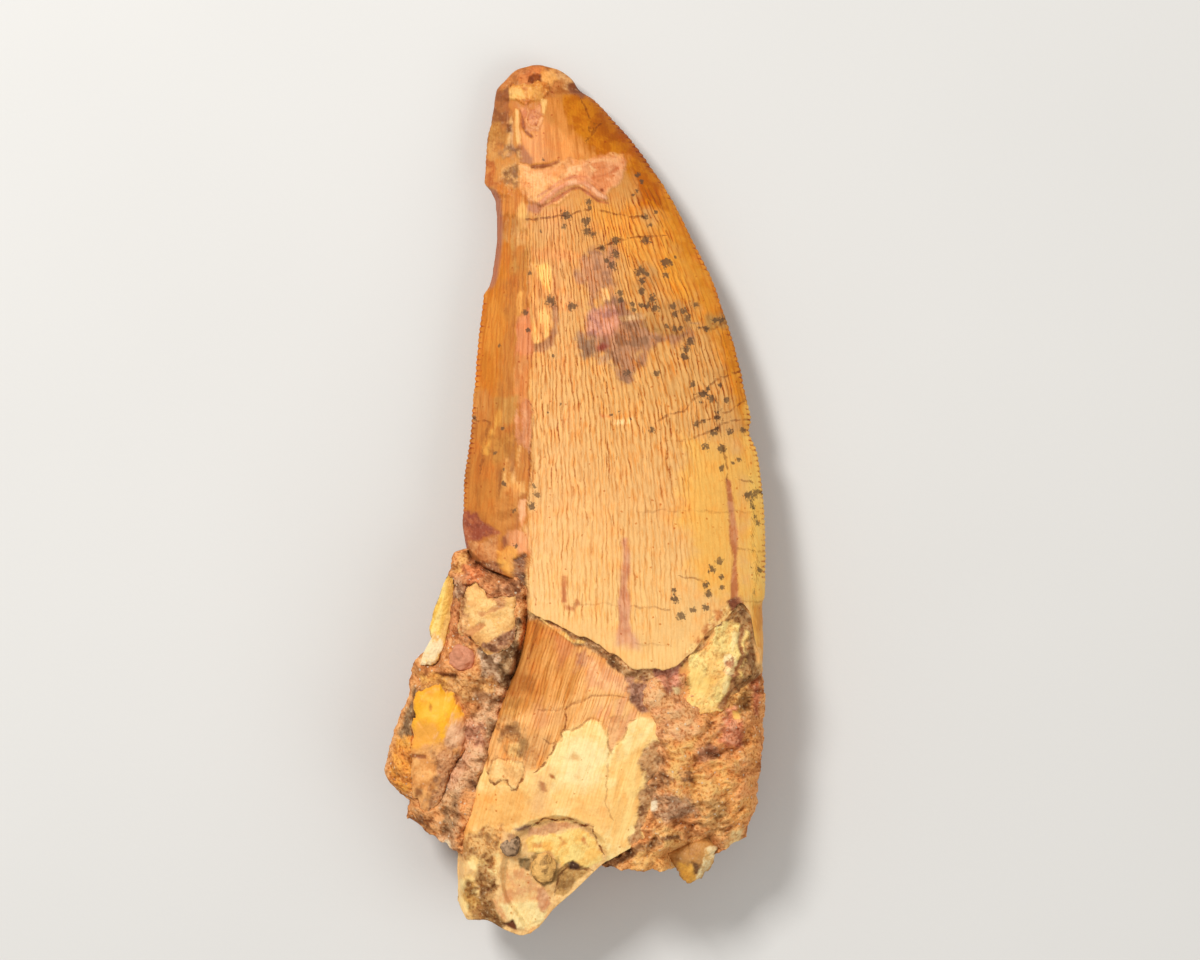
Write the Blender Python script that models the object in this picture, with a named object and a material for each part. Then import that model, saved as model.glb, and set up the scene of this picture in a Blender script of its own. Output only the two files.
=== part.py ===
"""A carcharodontosaurus tooth lying on its back, with the sandstone it was found in.

Sizes are in millimetres and become metres in add_piece. X runs across the crown,
Y from the broken root to the tip, and Z up from the surface that the tooth lies on.
The origin is the middle of the bounding box's underside.
"""

import math

import bmesh
import bpy
import numpy as np

MM = 0.001
GAP = 0.3  # left between neighbouring pieces

# Outlines, each a list of (Y, X) from the tip down to the root
WHOLE_LEFT = (
    (43.5, -4.3), (43.05, -5.9), (42.0, -7.0), (41.0, -7.85), (38.0, -8.35), (36.0, -8.85),
    (32.0, -9.05), (21.0, -9.2), (16.0, -9.75), (10.0, -10.25), (6.0, -10.6), (2.0, -11.15),
    (-2.0, -11.25), (-12.0, -11.8), (-22.0, -12.3), (-45.0, -12.6),
)
# What is broken off the left edge: the chip below the tip, then the corner of the crown
LEFT_BREAK = (
    (43.5, 0.0), (32.0, 0.0), (31.0, 0.65), (30.0, 1.1), (27.0, 1.3), (23.5, 1.0), (21.6, 0.6),
    (20.4, 0.0), (-2.0, 0.0), (-4.5, 0.4), (-6.5, 1.7), (-7.6, 4.4), (-8.6, 6.1), (-12.0, 6.5),
    (-15.0, 6.2), (-18.0, 5.2), (-22.0, 3.7), (-26.0, 2.5), (-30.0, 1.6), (-33.5, 0.8), (-45.0, 0.8),
)
TOOTH_RIGHT = (
    (43.5, -3.4), (43.05, -1.7), (42.0, -0.3), (41.0, 0.4), (40.0, 1.9), (38.0, 3.8),
    (36.0, 5.6), (34.0, 7.1), (30.0, 9.7), (26.0, 11.7), (22.0, 13.7), (18.0, 15.1),
    (14.0, 16.3), (10.0, 17.15), (8.0, 17.55), (7.0, 17.4), (5.0, 18.15), (2.0, 18.6),
    (-2.0, 18.95), (-6.0, 19.05), (-9.6, 18.9), (-10.2, 18.65), (-14.0, 18.75), (-17.0, 18.6),
    (-18.5, 17.3), (-20.0, 16.6), (-24.0, 15.0), (-30.0, 12.4), (-33.0, 11.45), (-45.0, 11.45),
)
MATRIX_LEFT = (
    (-1.0, -8.4), (-4.2, -9.0), (-5.2, -11.9), (-8.0, -12.8), (-12.0, -13.6), (-14.0, -14.0),
    (-16.0, -15.9), (-20.0, -16.9), (-24.0, -18.3), (-26.9, -19.05), (-27.9, -18.7),
    (-29.0, -17.6), (-30.0, -16.5), (-40.0, -16.5),
)
MATRIX_RIGHT = (
    (-1.0, 15.6), (-15.6, 16.2), (-17.0, 18.6), (-20.0, 18.75), (-24.0, 18.6), (-28.0, 18.2),
    (-31.0, 17.7), (-33.0, 16.9), (-40.0, 16.7),
)

# Edges that cross the tooth, each a list of (X, Y) from left to right
ENAMEL_EDGE = (
    (-12.0, -6.0), (-7.0, -8.6), (-5.5, -10.4), (-1.0, -12.8), (3.5, -15.0), (6.5, -16.9),
    (8.2, -16.9), (11.5, -15.4), (13.0, -13.4), (15.0, -11.9), (16.6, -10.4), (17.5, -11.2),
    (18.2, -14.8), (19.0, -17.0),
)
ROOT_END = (
    (-11.8, -40.4), (-10.7, -42.0), (-9.2, -42.0), (-6.9, -43.0), (-5.4, -43.5), (-3.9, -42.9),
    (-2.2, -40.9), (0.0, -38.9), (1.7, -37.2), (2.8, -36.2), (6.5, -34.1), (11.5, -32.1),
)
MATRIX_TOP = ((-11.0, -2.6), (0.0, -7.6), (9.0, -11.6), (18.0, -13.8))
MATRIX_END = (
    (-16.5, -31.9), (-14.5, -33.6), (-12.0, -34.9), (-7.5, -36.0), (2.8, -36.4), (7.5, -36.8),
    (11.9, -36.6), (14.2, -35.2), (16.7, -34.0),
)
MATRIX_BACK_EDGE = (
    (-20.0, -3.6), (-11.0, -4.9), (-7.0, -7.5), (-3.0, -9.5), (4.0, -10.0), (12.0, -14.5), (20.0, -18.0),
)

# Where the tooth shows through the sandstone from the front, as a closed outline of (X, Y)
WINDOW = (
    (-20.0, -4.6), (-11.7, -4.9), (-10.3, -7.1), (-8.3, -8.3), (-5.4, -8.3), (-5.4, -12.0),
    (-6.2, -15.0), (-7.1, -18.0), (-7.9, -21.2), (-9.2, -26.5), (-10.0, -29.5), (-11.6, -34.3),
    (-14.0, -50.0), (8.0, -50.0), (2.9, -36.6), (4.7, -35.2), (6.7, -33.8), (7.5, -30.0),
    (8.1, -26.0), (7.7, -22.5), (6.4, -19.6), (7.8, -17.6), (11.3, -16.8), (10.9, -19.0),
    (14.0, -21.7), (16.0, -20.0), (17.4, -18.0), (22.0, -16.8), (22.0, 50.0), (-20.0, 50.0),
)

# Heights of the front and the back above the surface, each a list of (Y, Z)
FRONT_HEIGHT = (
    (43.5, 3.4), (42.5, 4.4), (40.0, 5.2), (35.0, 6.4), (28.0, 7.9), (20.0, 9.2), (10.0, 10.6),
    (0.0, 12.0), (-8.0, 13.1), (-16.0, 13.9), (-25.0, 13.8), (-33.0, 13.0), (-40.0, 11.6),
    (-44.0, 10.6),
)
BACK_HEIGHT = (
    (43.5, 1.9), (42.5, 1.3), (40.0, 0.9), (35.0, 0.5), (28.0, 0.15), (20.0, -0.15), (10.0, -0.15),
    (4.0, 0.0), (-2.0, 0.3), (-8.0, 1.1), (-14.0, 2.0), (-25.0, 2.6), (-35.0, 3.0), (-44.0, 3.8),
)
MATRIX_FRONT_HEIGHT = (
    (-1.0, 11.0), (-10.0, 12.4), (-18.0, 13.2), (-26.0, 13.6), (-32.0, 12.6), (-37.0, 11.2),
)
# The section is a sharp lens at 1.7 and a plump oval near 0.6
SECTION_POWER = (
    (43.5, 1.1), (38.0, 1.45), (25.0, 1.7), (5.0, 1.6), (-5.0, 1.3), (-11.0, 0.95), (-18.0, 0.62),
    (-30.0, 0.6), (-44.0, 0.7),
)
MATRIX_SECTION_POWER = 0.55

TIP_Y = 43.35
CROWN_ROWS = 34
ROOT_ROWS = 19
TOOTH_COLUMNS = 13
MATRIX_ROWS = 28
MATRIX_COLUMNS = 20
END_ROWS = 3  # across the thickness of a broken end
FIRST_COLUMN = 0.55  # in from the cutting edge, past the notches between denticles
FIRST_COLUMN_SHARE = 0.22  # or this share of the width, near the tip

# Denticles stand in one row along each cutting edge: (Y, length of one denticle)
DENTICLES = {
    "left": ((-2.0, 0.50), (5.0, 0.50), (15.0, 0.56), (39.0, 0.60)),
    "right": ((-10.0, 0.52), (12.0, 0.545), (20.0, 0.58), (29.0, 0.63), (41.0, 0.60)),
}
DENTICLE_SPANS = {"left": ((38.5, 32.6), (20.8, -2.0)), "right": ((40.6, -9.4),)}
DENTICLE_DEPTH = 0.22
PLAIN_EDGE_STEP = 1.4

BREAK_ROUNDING = 0.9  # at the top of a broken wall
ENAMEL_MEAN_Y = -13.0
ENAMEL_STEP = 0.8  # from the enamel down to the dentine under its lower edge
STEP_WIDTH = 0.4  # along Y, in which the step falls
STEP_REACH = 3.0  # along Y, in which the dentine comes halfway back up
LOBE_STEP = 0.9  # down into the broken lobe at the end of the root
LOBE_CENTRE, LOBE_RADII = (-1.9, -37.6), (5.6, 6.2)
END_ROUGHNESS = 0.7

SANDSTONE_MIDDLE = 6.6  # height of the sandstone's outline above the surface
SANDSTONE_COVER = 1.3  # on the tooth beside the window
SANDSTONE_LEFT_FALL = 2.6  # from the tooth's side to the left outline
LUMP_HEIGHT = 0.9
UNDERSIDE_LIFT = 1.1  # of the sandstone's underside away from the rest face
REST_CENTRE, REST_RADII = (-1.5, -23.0), (7.5, 8.0)
REST_SINK = 0.9  # by which the round section would pass the surface there, cut off flat
THINNEST = 0.2  # half of the least thickness of the sandstone's slab
ROOM_HEIGHT = 3.0  # by which a fragment's room is open above its face

# Colour as linear RGB, roughness
FINISHES = {
    "enamel": ((0.80, 0.44, 0.13), 0.35),
    "sandstone": ((0.45, 0.25, 0.13), 0.9),
    "amber_bone": ((0.88, 0.50, 0.10), 0.45),
    "cream_bone": ((0.86, 0.56, 0.24), 0.6),
    "pebble": ((0.35, 0.24, 0.10), 0.7),
}


def along(points, at):
    """Smooth curve through the points that never overshoots them (monotone cubic)."""
    x, y = np.array(sorted(points)).T
    step = np.diff(x)
    rise = np.diff(y) / step
    before, after = rise[:-1], rise[1:]
    same_way = before * after > 0
    mean = 2 * before * after / np.where(same_way, before + after, 1)
    slope = np.concatenate([rise[:1], np.where(same_way, mean, 0), rise[-1:]])
    at = np.clip(at, x[0], x[-1])
    i = np.clip(np.searchsorted(x, at) - 1, 0, len(step) - 1)
    s = (at - x[i]) / step[i]
    bend = s * (1 - s) ** 2 * slope[i] - s * s * (1 - s) * slope[i + 1]
    return y[i] + s * s * (3 - 2 * s) * (y[i + 1] - y[i]) + step[i] * bend


def ramp(value, low, high):
    """0 below low, 1 above high, and a smooth S between them."""
    s = np.clip((value - low) / (high - low), 0, 1)
    return s * s * (3 - 2 * s)


def lumps(x, y, z, size, seed):
    """Smooth lumps between -1 and 1: random heights on a cubic lattice, eased between."""
    place = np.stack(np.broadcast_arrays(x, y, z), -1) / size + seed
    cell = np.floor(place)
    s = place - cell
    s = s * s * (3 - 2 * s)
    total = 0.0
    for corner in np.ndindex(2, 2, 2):
        share = np.prod(np.where(corner, s, 1 - s), -1)
        height = np.sin((cell + corner) @ (12.99, 78.23, 37.72)) * 4375.85
        total = total + share * (height - np.floor(height))
    return 2 * total - 1


def outside(outline, x, y):
    """Distance from a closed outline, positive outside it and negative inside."""
    nearest = np.full(np.shape(x), np.inf)
    inside = np.zeros(np.shape(x), bool)
    for (x0, y0), (x1, y1) in zip(outline, outline[1:] + outline[:1]):
        dx, dy = x1 - x0, y1 - y0
        s = np.clip(((x - x0) * dx + (y - y0) * dy) / (dx * dx + dy * dy), 0, 1)
        nearest = np.minimum(nearest, np.hypot(x - x0 - s * dx, y - y0 - s * dy))
        crosses = (y0 > y) != (y1 > y)
        inside ^= crosses & (x < x0 + (y - y0) * dx / (dy if dy else 1))
    return np.where(inside, -nearest, nearest)


def from_centre(x, y, centre, radii):
    """Distance from a centre in radii: 1 all along the ellipse."""
    return np.hypot((x - centre[0]) / radii[0], (y - centre[1]) / radii[1])


def bulge(share, power):
    """Height of a section at a share of its width: 0 at both edges and 1 in the middle."""
    return np.clip(4 * share * (1 - share), 0, 1) ** (power / 2)


def tooth_left(y):
    return along(WHOLE_LEFT, y) + along(LEFT_BREAK, y)


def tooth_right(y):
    return along(TOOTH_RIGHT, y)


def matrix_left(y):
    return along(MATRIX_LEFT, y)


def matrix_right(y):
    return along(MATRIX_RIGHT, y)


def tooth_surface(x, y, side, grow=0.0):
    """Height of the tooth's front (side 1) or back (side -1), grown by a clearance.

    The section is that of the whole tooth, cut off in a steep wall where it is broken."""
    left, right = along(WHOLE_LEFT, y) - grow, tooth_right(y) + grow
    share = np.clip((x - left) / (right - left), 0, 1)
    front, back = along(FRONT_HEIGHT, y), along(BACK_HEIGHT, y)
    middle, half = (front + back) / 2, (front - back) / 2
    broken = along(LEFT_BREAK, y)
    wall = np.sqrt(ramp(x - left - broken, 0, np.clip(broken, 0.01, BREAK_ROUNDING)))
    height = middle + side * (half + grow) * bulge(share, along(SECTION_POWER, y)) * wall
    if side < 0:
        return np.maximum(height, -grow)
    below_enamel = along(ENAMEL_EDGE, x) - y
    fading = 0.5 + 0.5 * np.exp(-np.abs(below_enamel) / STEP_REACH)
    step = ENAMEL_STEP * ramp(below_enamel, 0, STEP_WIDTH) * fading
    step = step + LOBE_STEP * ramp(1 - from_centre(x, y, LOBE_CENTRE, LOBE_RADII), 0, 0.2)
    return np.maximum(height - step * ramp(share, 0, 0.12) * ramp(1 - share, 0, 0.06), middle)


def across(share, left, right, inset=0.0):
    """X at a share of a width, keeping an inset from both edges where there is room."""
    inset = np.minimum(inset, FIRST_COLUMN_SHARE * (right - left))
    return left + inset + share * (right - left - 2 * inset)


def on_line(line, share, left, right, inset=0.0):
    """Y where a line crossing a piece meets each share of the piece's width.

    The share's X depends on Y, so both are stepped towards each other until they agree."""
    y = np.full(np.shape(share), np.mean([p[1] for p in line]))
    for _ in range(60):
        y += 0.3 * (along(line, across(share, left(y), right(y), inset)) - y)
    return y


def tooth_edge(side, end_y, grow):
    """Points down one cutting edge, every second one drawn in where denticles stand."""
    outline, out = (tooth_left, -1) if side == "left" else (tooth_right, 1)
    y, points, notch = TIP_Y + grow, [], False
    while y > end_y + 0.2:
        serrated = not grow and any(top > y > low for top, low in DENTICLE_SPANS[side])
        notch = serrated and not notch
        points.append((outline(y) + out * (grow - DENTICLE_DEPTH * notch), y))
        slope = (outline(y + 0.2) - outline(y - 0.2)) / 0.4
        step = along(DENTICLES[side], y) / 2 if serrated else PLAIN_EDGE_STEP
        y -= step / math.hypot(1, slope)
    points.append((outline(end_y) + out * grow, end_y))
    x, y = np.array(points).T
    return np.stack([x, y, (along(FRONT_HEIGHT, y) + along(BACK_HEIGHT, y)) / 2], -1)


def tooth_skin(grow=0.0):
    """Rows down the crown to the enamel's lower edge, then down the root to its end."""
    share = (1 - np.cos(np.pi * np.arange(TOOTH_COLUMNS) / (TOOTH_COLUMNS - 1))) / 2
    enamel = on_line(ENAMEL_EDGE, share, tooth_left, tooth_right, FIRST_COLUMN)
    end = on_line(ROOT_END, share, tooth_left, tooth_right, FIRST_COLUMN) - grow
    down = np.linspace(0, 1, CROWN_ROWS)[:, None]
    straight = (TIP_Y + grow) * (1 - down) + ENAMEL_MEAN_Y * down
    crown = straight + (enamel - ENAMEL_MEAN_Y) * down**4
    down = np.linspace(0, 1, ROOT_ROWS)[:, None]
    root = (enamel - STEP_WIDTH) * (1 - down) + end * down
    y = np.concatenate([crown, root])
    x = across(share, tooth_left(y) - grow, tooth_right(y) + grow, FIRST_COLUMN)
    faces = [np.stack([x, y, tooth_surface(x, y, side, grow)], -1) for side in (1, -1)]
    ends = on_line(ROOT_END, np.array([0.0, 1.0]), tooth_left, tooth_right) - grow
    edges = [tooth_edge(s, y, grow) for s, y in zip(("left", "right"), ends)]
    return (*faces, *edges)


def matrix_skin():
    """Lumpy slab round the root: low inside the window, above the tooth beside it."""
    share = (1 - np.cos(np.pi * np.arange(MATRIX_COLUMNS + 2) / (MATRIX_COLUMNS + 1))) / 2
    top = on_line(MATRIX_TOP, share, matrix_left, matrix_right)
    end = on_line(MATRIX_END, share, matrix_left, matrix_right)
    down = np.linspace(0, 1, MATRIX_ROWS)[:, None]
    y = top * (1 - down) + end * down
    x = across(share, matrix_left(y), matrix_right(y))
    round_section = bulge(share, MATRIX_SECTION_POWER)
    middle = SANDSTONE_MIDDLE + 0.7 * lumps(x, y, 0, 5.0, 3.1)
    rough = lumps(x, y, 0, 4.3, 7.7) + 0.6 * lumps(x, y, 0, 2.4, 1.3)

    front = along(MATRIX_FRONT_HEIGHT, y) - SANDSTONE_LEFT_FALL * ramp(-x, 6, 17)
    front = middle + (front - middle + LUMP_HEIGHT * rough) * round_section
    border = outside(WINDOW, x, y)
    tooth = tooth_surface(x, y, 1)
    beside = (x > tooth_left(y)) & (x < tooth_right(y))
    shift = np.clip(border * 1.2, -SANDSTONE_COVER, SANDSTONE_COVER)
    shaped = np.where(border < 0, np.minimum(front, tooth + shift), np.maximum(front, tooth + shift))
    front = np.where(beside, shaped, front)

    away = ramp(from_centre(x, y, REST_CENTRE, REST_RADII), 1.0, 1.9)
    lift = away * np.maximum(UNDERSIDE_LIFT + LUMP_HEIGHT * rough, 0.15)
    back = middle - (middle - lift + REST_SINK * (1 - away)) * round_section
    below = along(MATRIX_BACK_EDGE, x) - y
    tooth = tooth_surface(x, y, -1)
    shift = np.clip(below * 0.9, -SANDSTONE_COVER, SANDSTONE_COVER)
    shaped = np.where(below < 0, np.maximum(back, tooth - shift), np.minimum(back, tooth - shift))
    back = np.maximum(np.where(beside, shaped, back), 0)

    front, back = np.maximum(front, middle + THINNEST), np.minimum(back, middle - THINNEST)
    faces = [np.stack([x, y, z], -1)[:, 1:-1] for z in (front, back)]
    edges = [np.stack([x, y, middle], -1)[:, column] for column in (0, -1)]
    return (*faces, *edges)


def zip_lines(first, first_y, second, second_y):
    """Triangles between two lines of points that both run down Y."""
    faces, i, j = [], 0, 0
    while i < len(first) - 1 or j < len(second) - 1:
        last_first, last_second = i == len(first) - 1, j == len(second) - 1
        if last_second or (not last_first and first_y[i + 1] > second_y[j + 1]):
            faces.append((first[i], first[i + 1], second[j]))
            i += 1
        else:
            faces.append((first[i], second[j + 1], second[j]))
            j += 1
    return faces


def skin_mesh(front, back, left, right, end_rows):
    """Closed body from two faces, the two edges that they meet at, and a rough end."""
    share = np.arange(1, end_rows + 1)[:, None, None] / (end_rows + 1)
    end = front[-1] * (1 - share) + back[-1] * share
    end[..., 1] += END_ROUGHNESS * lumps(end[..., 0], 0, end[..., 2], 2.2, 5.0)
    blocks = [front, back, left, right, end]
    starts = np.cumsum([0] + [b.size // 3 for b in blocks])
    ids = [s + np.arange(b.size // 3).reshape(b.shape[:-1]) for s, b in zip(starts, blocks)]
    across_end = np.concatenate([ids[0][-1:], ids[4], ids[1][-1:]])
    across_tip = np.stack([ids[0][0], ids[1][0]])
    faces = []
    for grid in (ids[0], ids[1], across_end, across_tip):
        corners = grid[:-1, :-1], grid[1:, :-1], grid[1:, 1:], grid[:-1, 1:]
        faces += np.stack(corners, -1).reshape(-1, 4).tolist()
    for edge, column in ((2, 0), (3, -1)):
        for face in (0, 1):
            height = blocks[edge][:, 1], blocks[face][:, column, 1]
            faces += zip_lines(ids[edge], height[0], ids[face][:, column], height[1])
        for line, corner in ((across_end, ids[edge][-1]), (across_tip, ids[edge][0])):
            faces += [(corner, a, b) for a, b in zip(line[:-1, column], line[1:, column])]
    points = np.concatenate([b.reshape(-1, 3) for b in blocks])
    return points, faces


def shard_mesh(outline, top, tilt, thickness, crown, grow=0.0):
    """Flat broken piece: a low-crowned face on an outline, and a smaller underside.

    With a clearance it is the straight-walled room that the piece sits in."""
    rim = np.array(outline)
    centre = rim.mean(0)
    reach = np.linalg.norm(rim - centre, axis=1, keepdims=True)
    rim = centre + (rim - centre) * (1 + grow / reach * 1.25)
    if grow:
        rings = ((1.0, -thickness - grow), (1.0, ROOM_HEIGHT))
    else:
        rings = ((0.8, -thickness), (1.0, 0.0), (0.55, crown))
    points = []
    for size, height in rings:
        ring = centre + (rim - centre) * size
        z = top + (ring - centre) @ tilt + height
        points.append(np.column_stack([ring, z]))
    count, faces = len(rim), []
    for ring in range(len(points) - 1):
        for k in range(count):
            n = (k + 1) % count
            low, high = ring * count, (ring + 1) * count
            faces += [(low + k, low + n, high + n), (low + k, high + n, high + k)]
    last = (len(points) - 1) * count
    faces += [tuple(range(count)), tuple(range(last, last + count))]
    return np.concatenate(points), faces


def pebble_mesh(centre, radii, grow=0.0):
    """Slightly lumpy ellipsoid, or the smooth room round it with a clearance."""
    ball = bmesh.new()
    bmesh.ops.create_icosphere(ball, subdivisions=2, radius=1.0)
    points = np.array([v.co for v in ball.verts])
    faces = [[v.index for v in f.verts] for f in ball.faces]
    ball.free()
    if not grow:
        points *= 1 + 0.06 * lumps(*points.T, 0.8, centre[0])[:, None]
    return points * (np.array(radii) + grow * 1.1) + centre, faces


def add_piece(name, shape, finish=None):
    """Object from points and faces; without a finish it is a cutter."""
    points, faces = shape
    body = bmesh.new()
    verts = [body.verts.new(p) for p in (points * MM).tolist()]
    for face in faces:
        body.faces.new([verts[i] for i in face])
    bmesh.ops.recalc_face_normals(body, faces=body.faces)
    mesh = bpy.data.meshes.new(name)
    body.to_mesh(mesh)
    body.free()
    piece = bpy.data.objects.new(name, mesh)
    bpy.context.scene.collection.objects.link(piece)
    if finish:
        mesh.shade_smooth()
        mesh.set_sharp_from_angle(angle=math.radians(50))
        mesh.materials.append(finish)
    else:
        piece.hide_render = True
        piece.display_type = "WIRE"
    return piece


def cut(piece, cutter):
    """Takes the cutter's room out of a piece."""
    modifier = piece.modifiers.new(cutter.name, "BOOLEAN")
    modifier.operation = "DIFFERENCE"
    modifier.object = cutter


def make_finish(name):
    colour, roughness = FINISHES[name]
    material = bpy.data.materials.new(name)
    material.use_nodes = True
    shader = material.node_tree.nodes["Principled BSDF"]
    shader.inputs["Base Color"].default_value = (*colour, 1)
    shader.inputs["Roughness"].default_value = roughness
    shader.inputs["Metallic"].default_value = 0
    return material


# Fragments in the sandstone: outline, height of the face, its tilt, thickness, crown, finish
SHARDS = {
    "bone_slab": (
        ((-16.0, -19.2), (-14.0, -18.4), (-12.0, -19.6), (-10.9, -22.2), (-11.1, -24.8),
         (-12.5, -27.5), (-13.6, -30.4), (-15.2, -31.6), (-16.3, -29.6), (-16.4, -24.2)),
        10.3, (0.12, 0.03), 3.6, 0.7, "amber_bone",
    ),
    "edge_sliver": (
        ((-12.7, -7.2), (-12.1, -8.4), (-12.3, -11.2), (-13.0, -14.4), (-13.9, -16.4),
         (-15.6, -16.6), (-15.2, -15.2), (-14.4, -14.0), (-14.6, -12.6), (-13.9, -10.2)),
        9.2, (0.15, 0.0), 3.4, 0.3, "amber_bone",
    ),
    "enamel_chip": (
        ((-9.3, -8.9), (-7.4, -10.1), (-5.8, -9.8), (-5.8, -12.6), (-6.4, -14.4), (-8.0, -15.2),
         (-9.8, -14.2), (-10.8, -12.6), (-10.2, -10.6)),
        11.4, (0.1, 0.0), 1.9, 0.35, "cream_bone",
    ),
    "base_shard": (
        ((9.2, -35.3), (11.0, -34.3), (13.2, -33.8), (14.2, -34.8), (13.6, -36.3), (12.1, -38.1),
         (11.2, -38.3), (9.9, -36.8)),
        9.6, (-0.1, 0.15), 4.4, 0.8, "amber_bone",
    ),
}
# Stones: what each is set in, its centre, its radii, its finish
STONES = {
    "olive_pebble": ("tooth", (-3.2, -36.7, 10.9), (1.25, 1.45, 1.15), "pebble"),
    "grey_pebble": ("tooth", (-6.5, -34.4, 11.0), (0.95, 1.05, 0.9), "pebble"),
    "pink_nodule": ("matrix", (-11.1, -15.9, 10.1), (1.5, 1.35, 1.3), "sandstone"),
}


def build():
    for old in list(bpy.data.objects):
        bpy.data.objects.remove(old, do_unlink=True)
    finishes = {name: make_finish(name) for name in FINISHES}
    tooth = add_piece("tooth", skin_mesh(*tooth_skin(), END_ROWS), finishes["enamel"])
    matrix = add_piece("matrix", skin_mesh(*matrix_skin(), END_ROWS), finishes["sandstone"])
    hosts = {"tooth": tooth, "matrix": matrix}
    cut(matrix, add_piece("tooth_room", skin_mesh(*tooth_skin(GAP), END_ROWS)))
    for name, (*shape, finish) in SHARDS.items():
        add_piece(name, shard_mesh(*shape), finishes[finish])
        cut(matrix, add_piece(f"{name}_room", shard_mesh(*shape, grow=GAP)))
    for name, (host, centre, radii, finish) in STONES.items():
        add_piece(name, pebble_mesh(centre, radii), finishes[finish])
        cut(hosts[host], add_piece(f"{name}_room", pebble_mesh(centre, radii, GAP)))


build()
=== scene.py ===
import math
from collections import namedtuple

import bpy
import numpy as np
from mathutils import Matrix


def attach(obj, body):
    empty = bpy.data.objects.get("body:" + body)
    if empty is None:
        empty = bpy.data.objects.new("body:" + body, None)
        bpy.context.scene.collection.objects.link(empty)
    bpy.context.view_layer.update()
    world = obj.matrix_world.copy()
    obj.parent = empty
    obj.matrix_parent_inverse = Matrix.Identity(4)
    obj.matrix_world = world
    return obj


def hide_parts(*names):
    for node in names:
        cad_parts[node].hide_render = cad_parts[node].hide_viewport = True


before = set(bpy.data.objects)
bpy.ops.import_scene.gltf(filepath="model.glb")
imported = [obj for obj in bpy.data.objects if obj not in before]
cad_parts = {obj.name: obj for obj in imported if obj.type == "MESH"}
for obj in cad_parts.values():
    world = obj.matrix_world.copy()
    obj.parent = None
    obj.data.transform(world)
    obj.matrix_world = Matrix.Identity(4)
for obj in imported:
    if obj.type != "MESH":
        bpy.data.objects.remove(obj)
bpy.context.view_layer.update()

# Looks of a carcharodontosaurus tooth in its sandstone, lying on its back and seen from
# above. The form's sizes are in millimetres, as in the solids that the pieces stand for.
# Marks on the front are drawn on a plan: a sheet of 1200 by 960 tenths of a millimetre laid
# over the object at EDGE_HEIGHT, measured from its top left corner and seen from EYE_HEIGHT
# above its middle. The object's origin is at PLAN_ORIGIN.
MM = 0.001
SHEET = (1200, 960)
PLAN_ORIGIN = (575.5, 500.5)
PLAN_UNIT = 10.0  # per millimetre
SHEET_MIDDLE = ((SHEET[0] / 2 - PLAN_ORIGIN[0]) / PLAN_UNIT, (PLAN_ORIGIN[1] - SHEET[1] / 2) / PLAN_UNIT)
LENS, SENSOR, EDGE_HEIGHT = 110.0, 36.0, 6.0
EYE_HEIGHT = EDGE_HEIGHT + SHEET[0] / PLAN_UNIT * LENS / SENSOR

# Outlines as the plan shows them, each a list of (Y, X) from the tip down to the root
WHOLE_LEFT_SEEN = (
    (43.5, -4.3), (43.05, -5.9), (42.0, -7.0), (41.0, -7.85), (38.0, -8.35), (36.0, -8.85),
    (32.0, -9.05), (21.0, -9.2), (16.0, -9.75), (10.0, -10.25), (6.0, -10.6), (2.0, -11.15),
    (-2.0, -11.25), (-12.0, -11.8), (-22.0, -12.3), (-45.0, -12.6),
)
LEFT_BREAK = (
    (43.5, 0.0), (32.0, 0.0), (31.0, 0.65), (30.0, 1.1), (27.0, 1.3), (23.5, 1.0), (21.6, 0.6),
    (20.4, 0.0), (-2.0, 0.0), (-4.5, 0.4), (-6.5, 1.7), (-7.6, 4.4), (-8.6, 6.1), (-12.0, 6.5),
    (-15.0, 6.2), (-18.0, 5.2), (-22.0, 3.7), (-26.0, 2.5), (-30.0, 1.6), (-33.5, 0.8), (-45.0, 0.8),
)
TOOTH_RIGHT_SEEN = (
    (43.5, -3.4), (43.05, -1.7), (42.0, -0.3), (41.0, 0.4), (40.0, 1.9), (38.0, 3.8),
    (36.0, 5.6), (34.0, 7.1), (30.0, 9.7), (26.0, 11.7), (22.0, 13.7), (18.0, 15.1),
    (14.0, 16.3), (10.0, 17.15), (8.0, 17.55), (7.0, 17.4), (5.0, 18.15), (2.0, 18.6),
    (-2.0, 18.95), (-6.0, 19.05), (-9.6, 18.9), (-10.2, 18.65), (-14.0, 18.75), (-17.0, 18.6),
    (-18.5, 17.3), (-20.0, 16.6), (-24.0, 15.0), (-30.0, 12.4), (-33.0, 11.45), (-45.0, 11.45),
)
MATRIX_LEFT = (
    (-1.0, -8.4), (-4.2, -9.0), (-5.2, -11.9), (-8.0, -12.8), (-12.0, -13.6), (-14.0, -14.0),
    (-16.0, -15.9), (-20.0, -16.9), (-24.0, -18.3), (-26.9, -19.05), (-27.9, -18.7),
    (-29.0, -17.6), (-30.0, -16.5), (-40.0, -16.5),
)
MATRIX_RIGHT = (
    (-1.0, 15.6), (-15.6, 16.2), (-17.0, 18.6), (-20.0, 18.75), (-24.0, 18.6), (-28.0, 18.2),
    (-31.0, 17.7), (-33.0, 16.9), (-40.0, 16.7),
)

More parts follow.
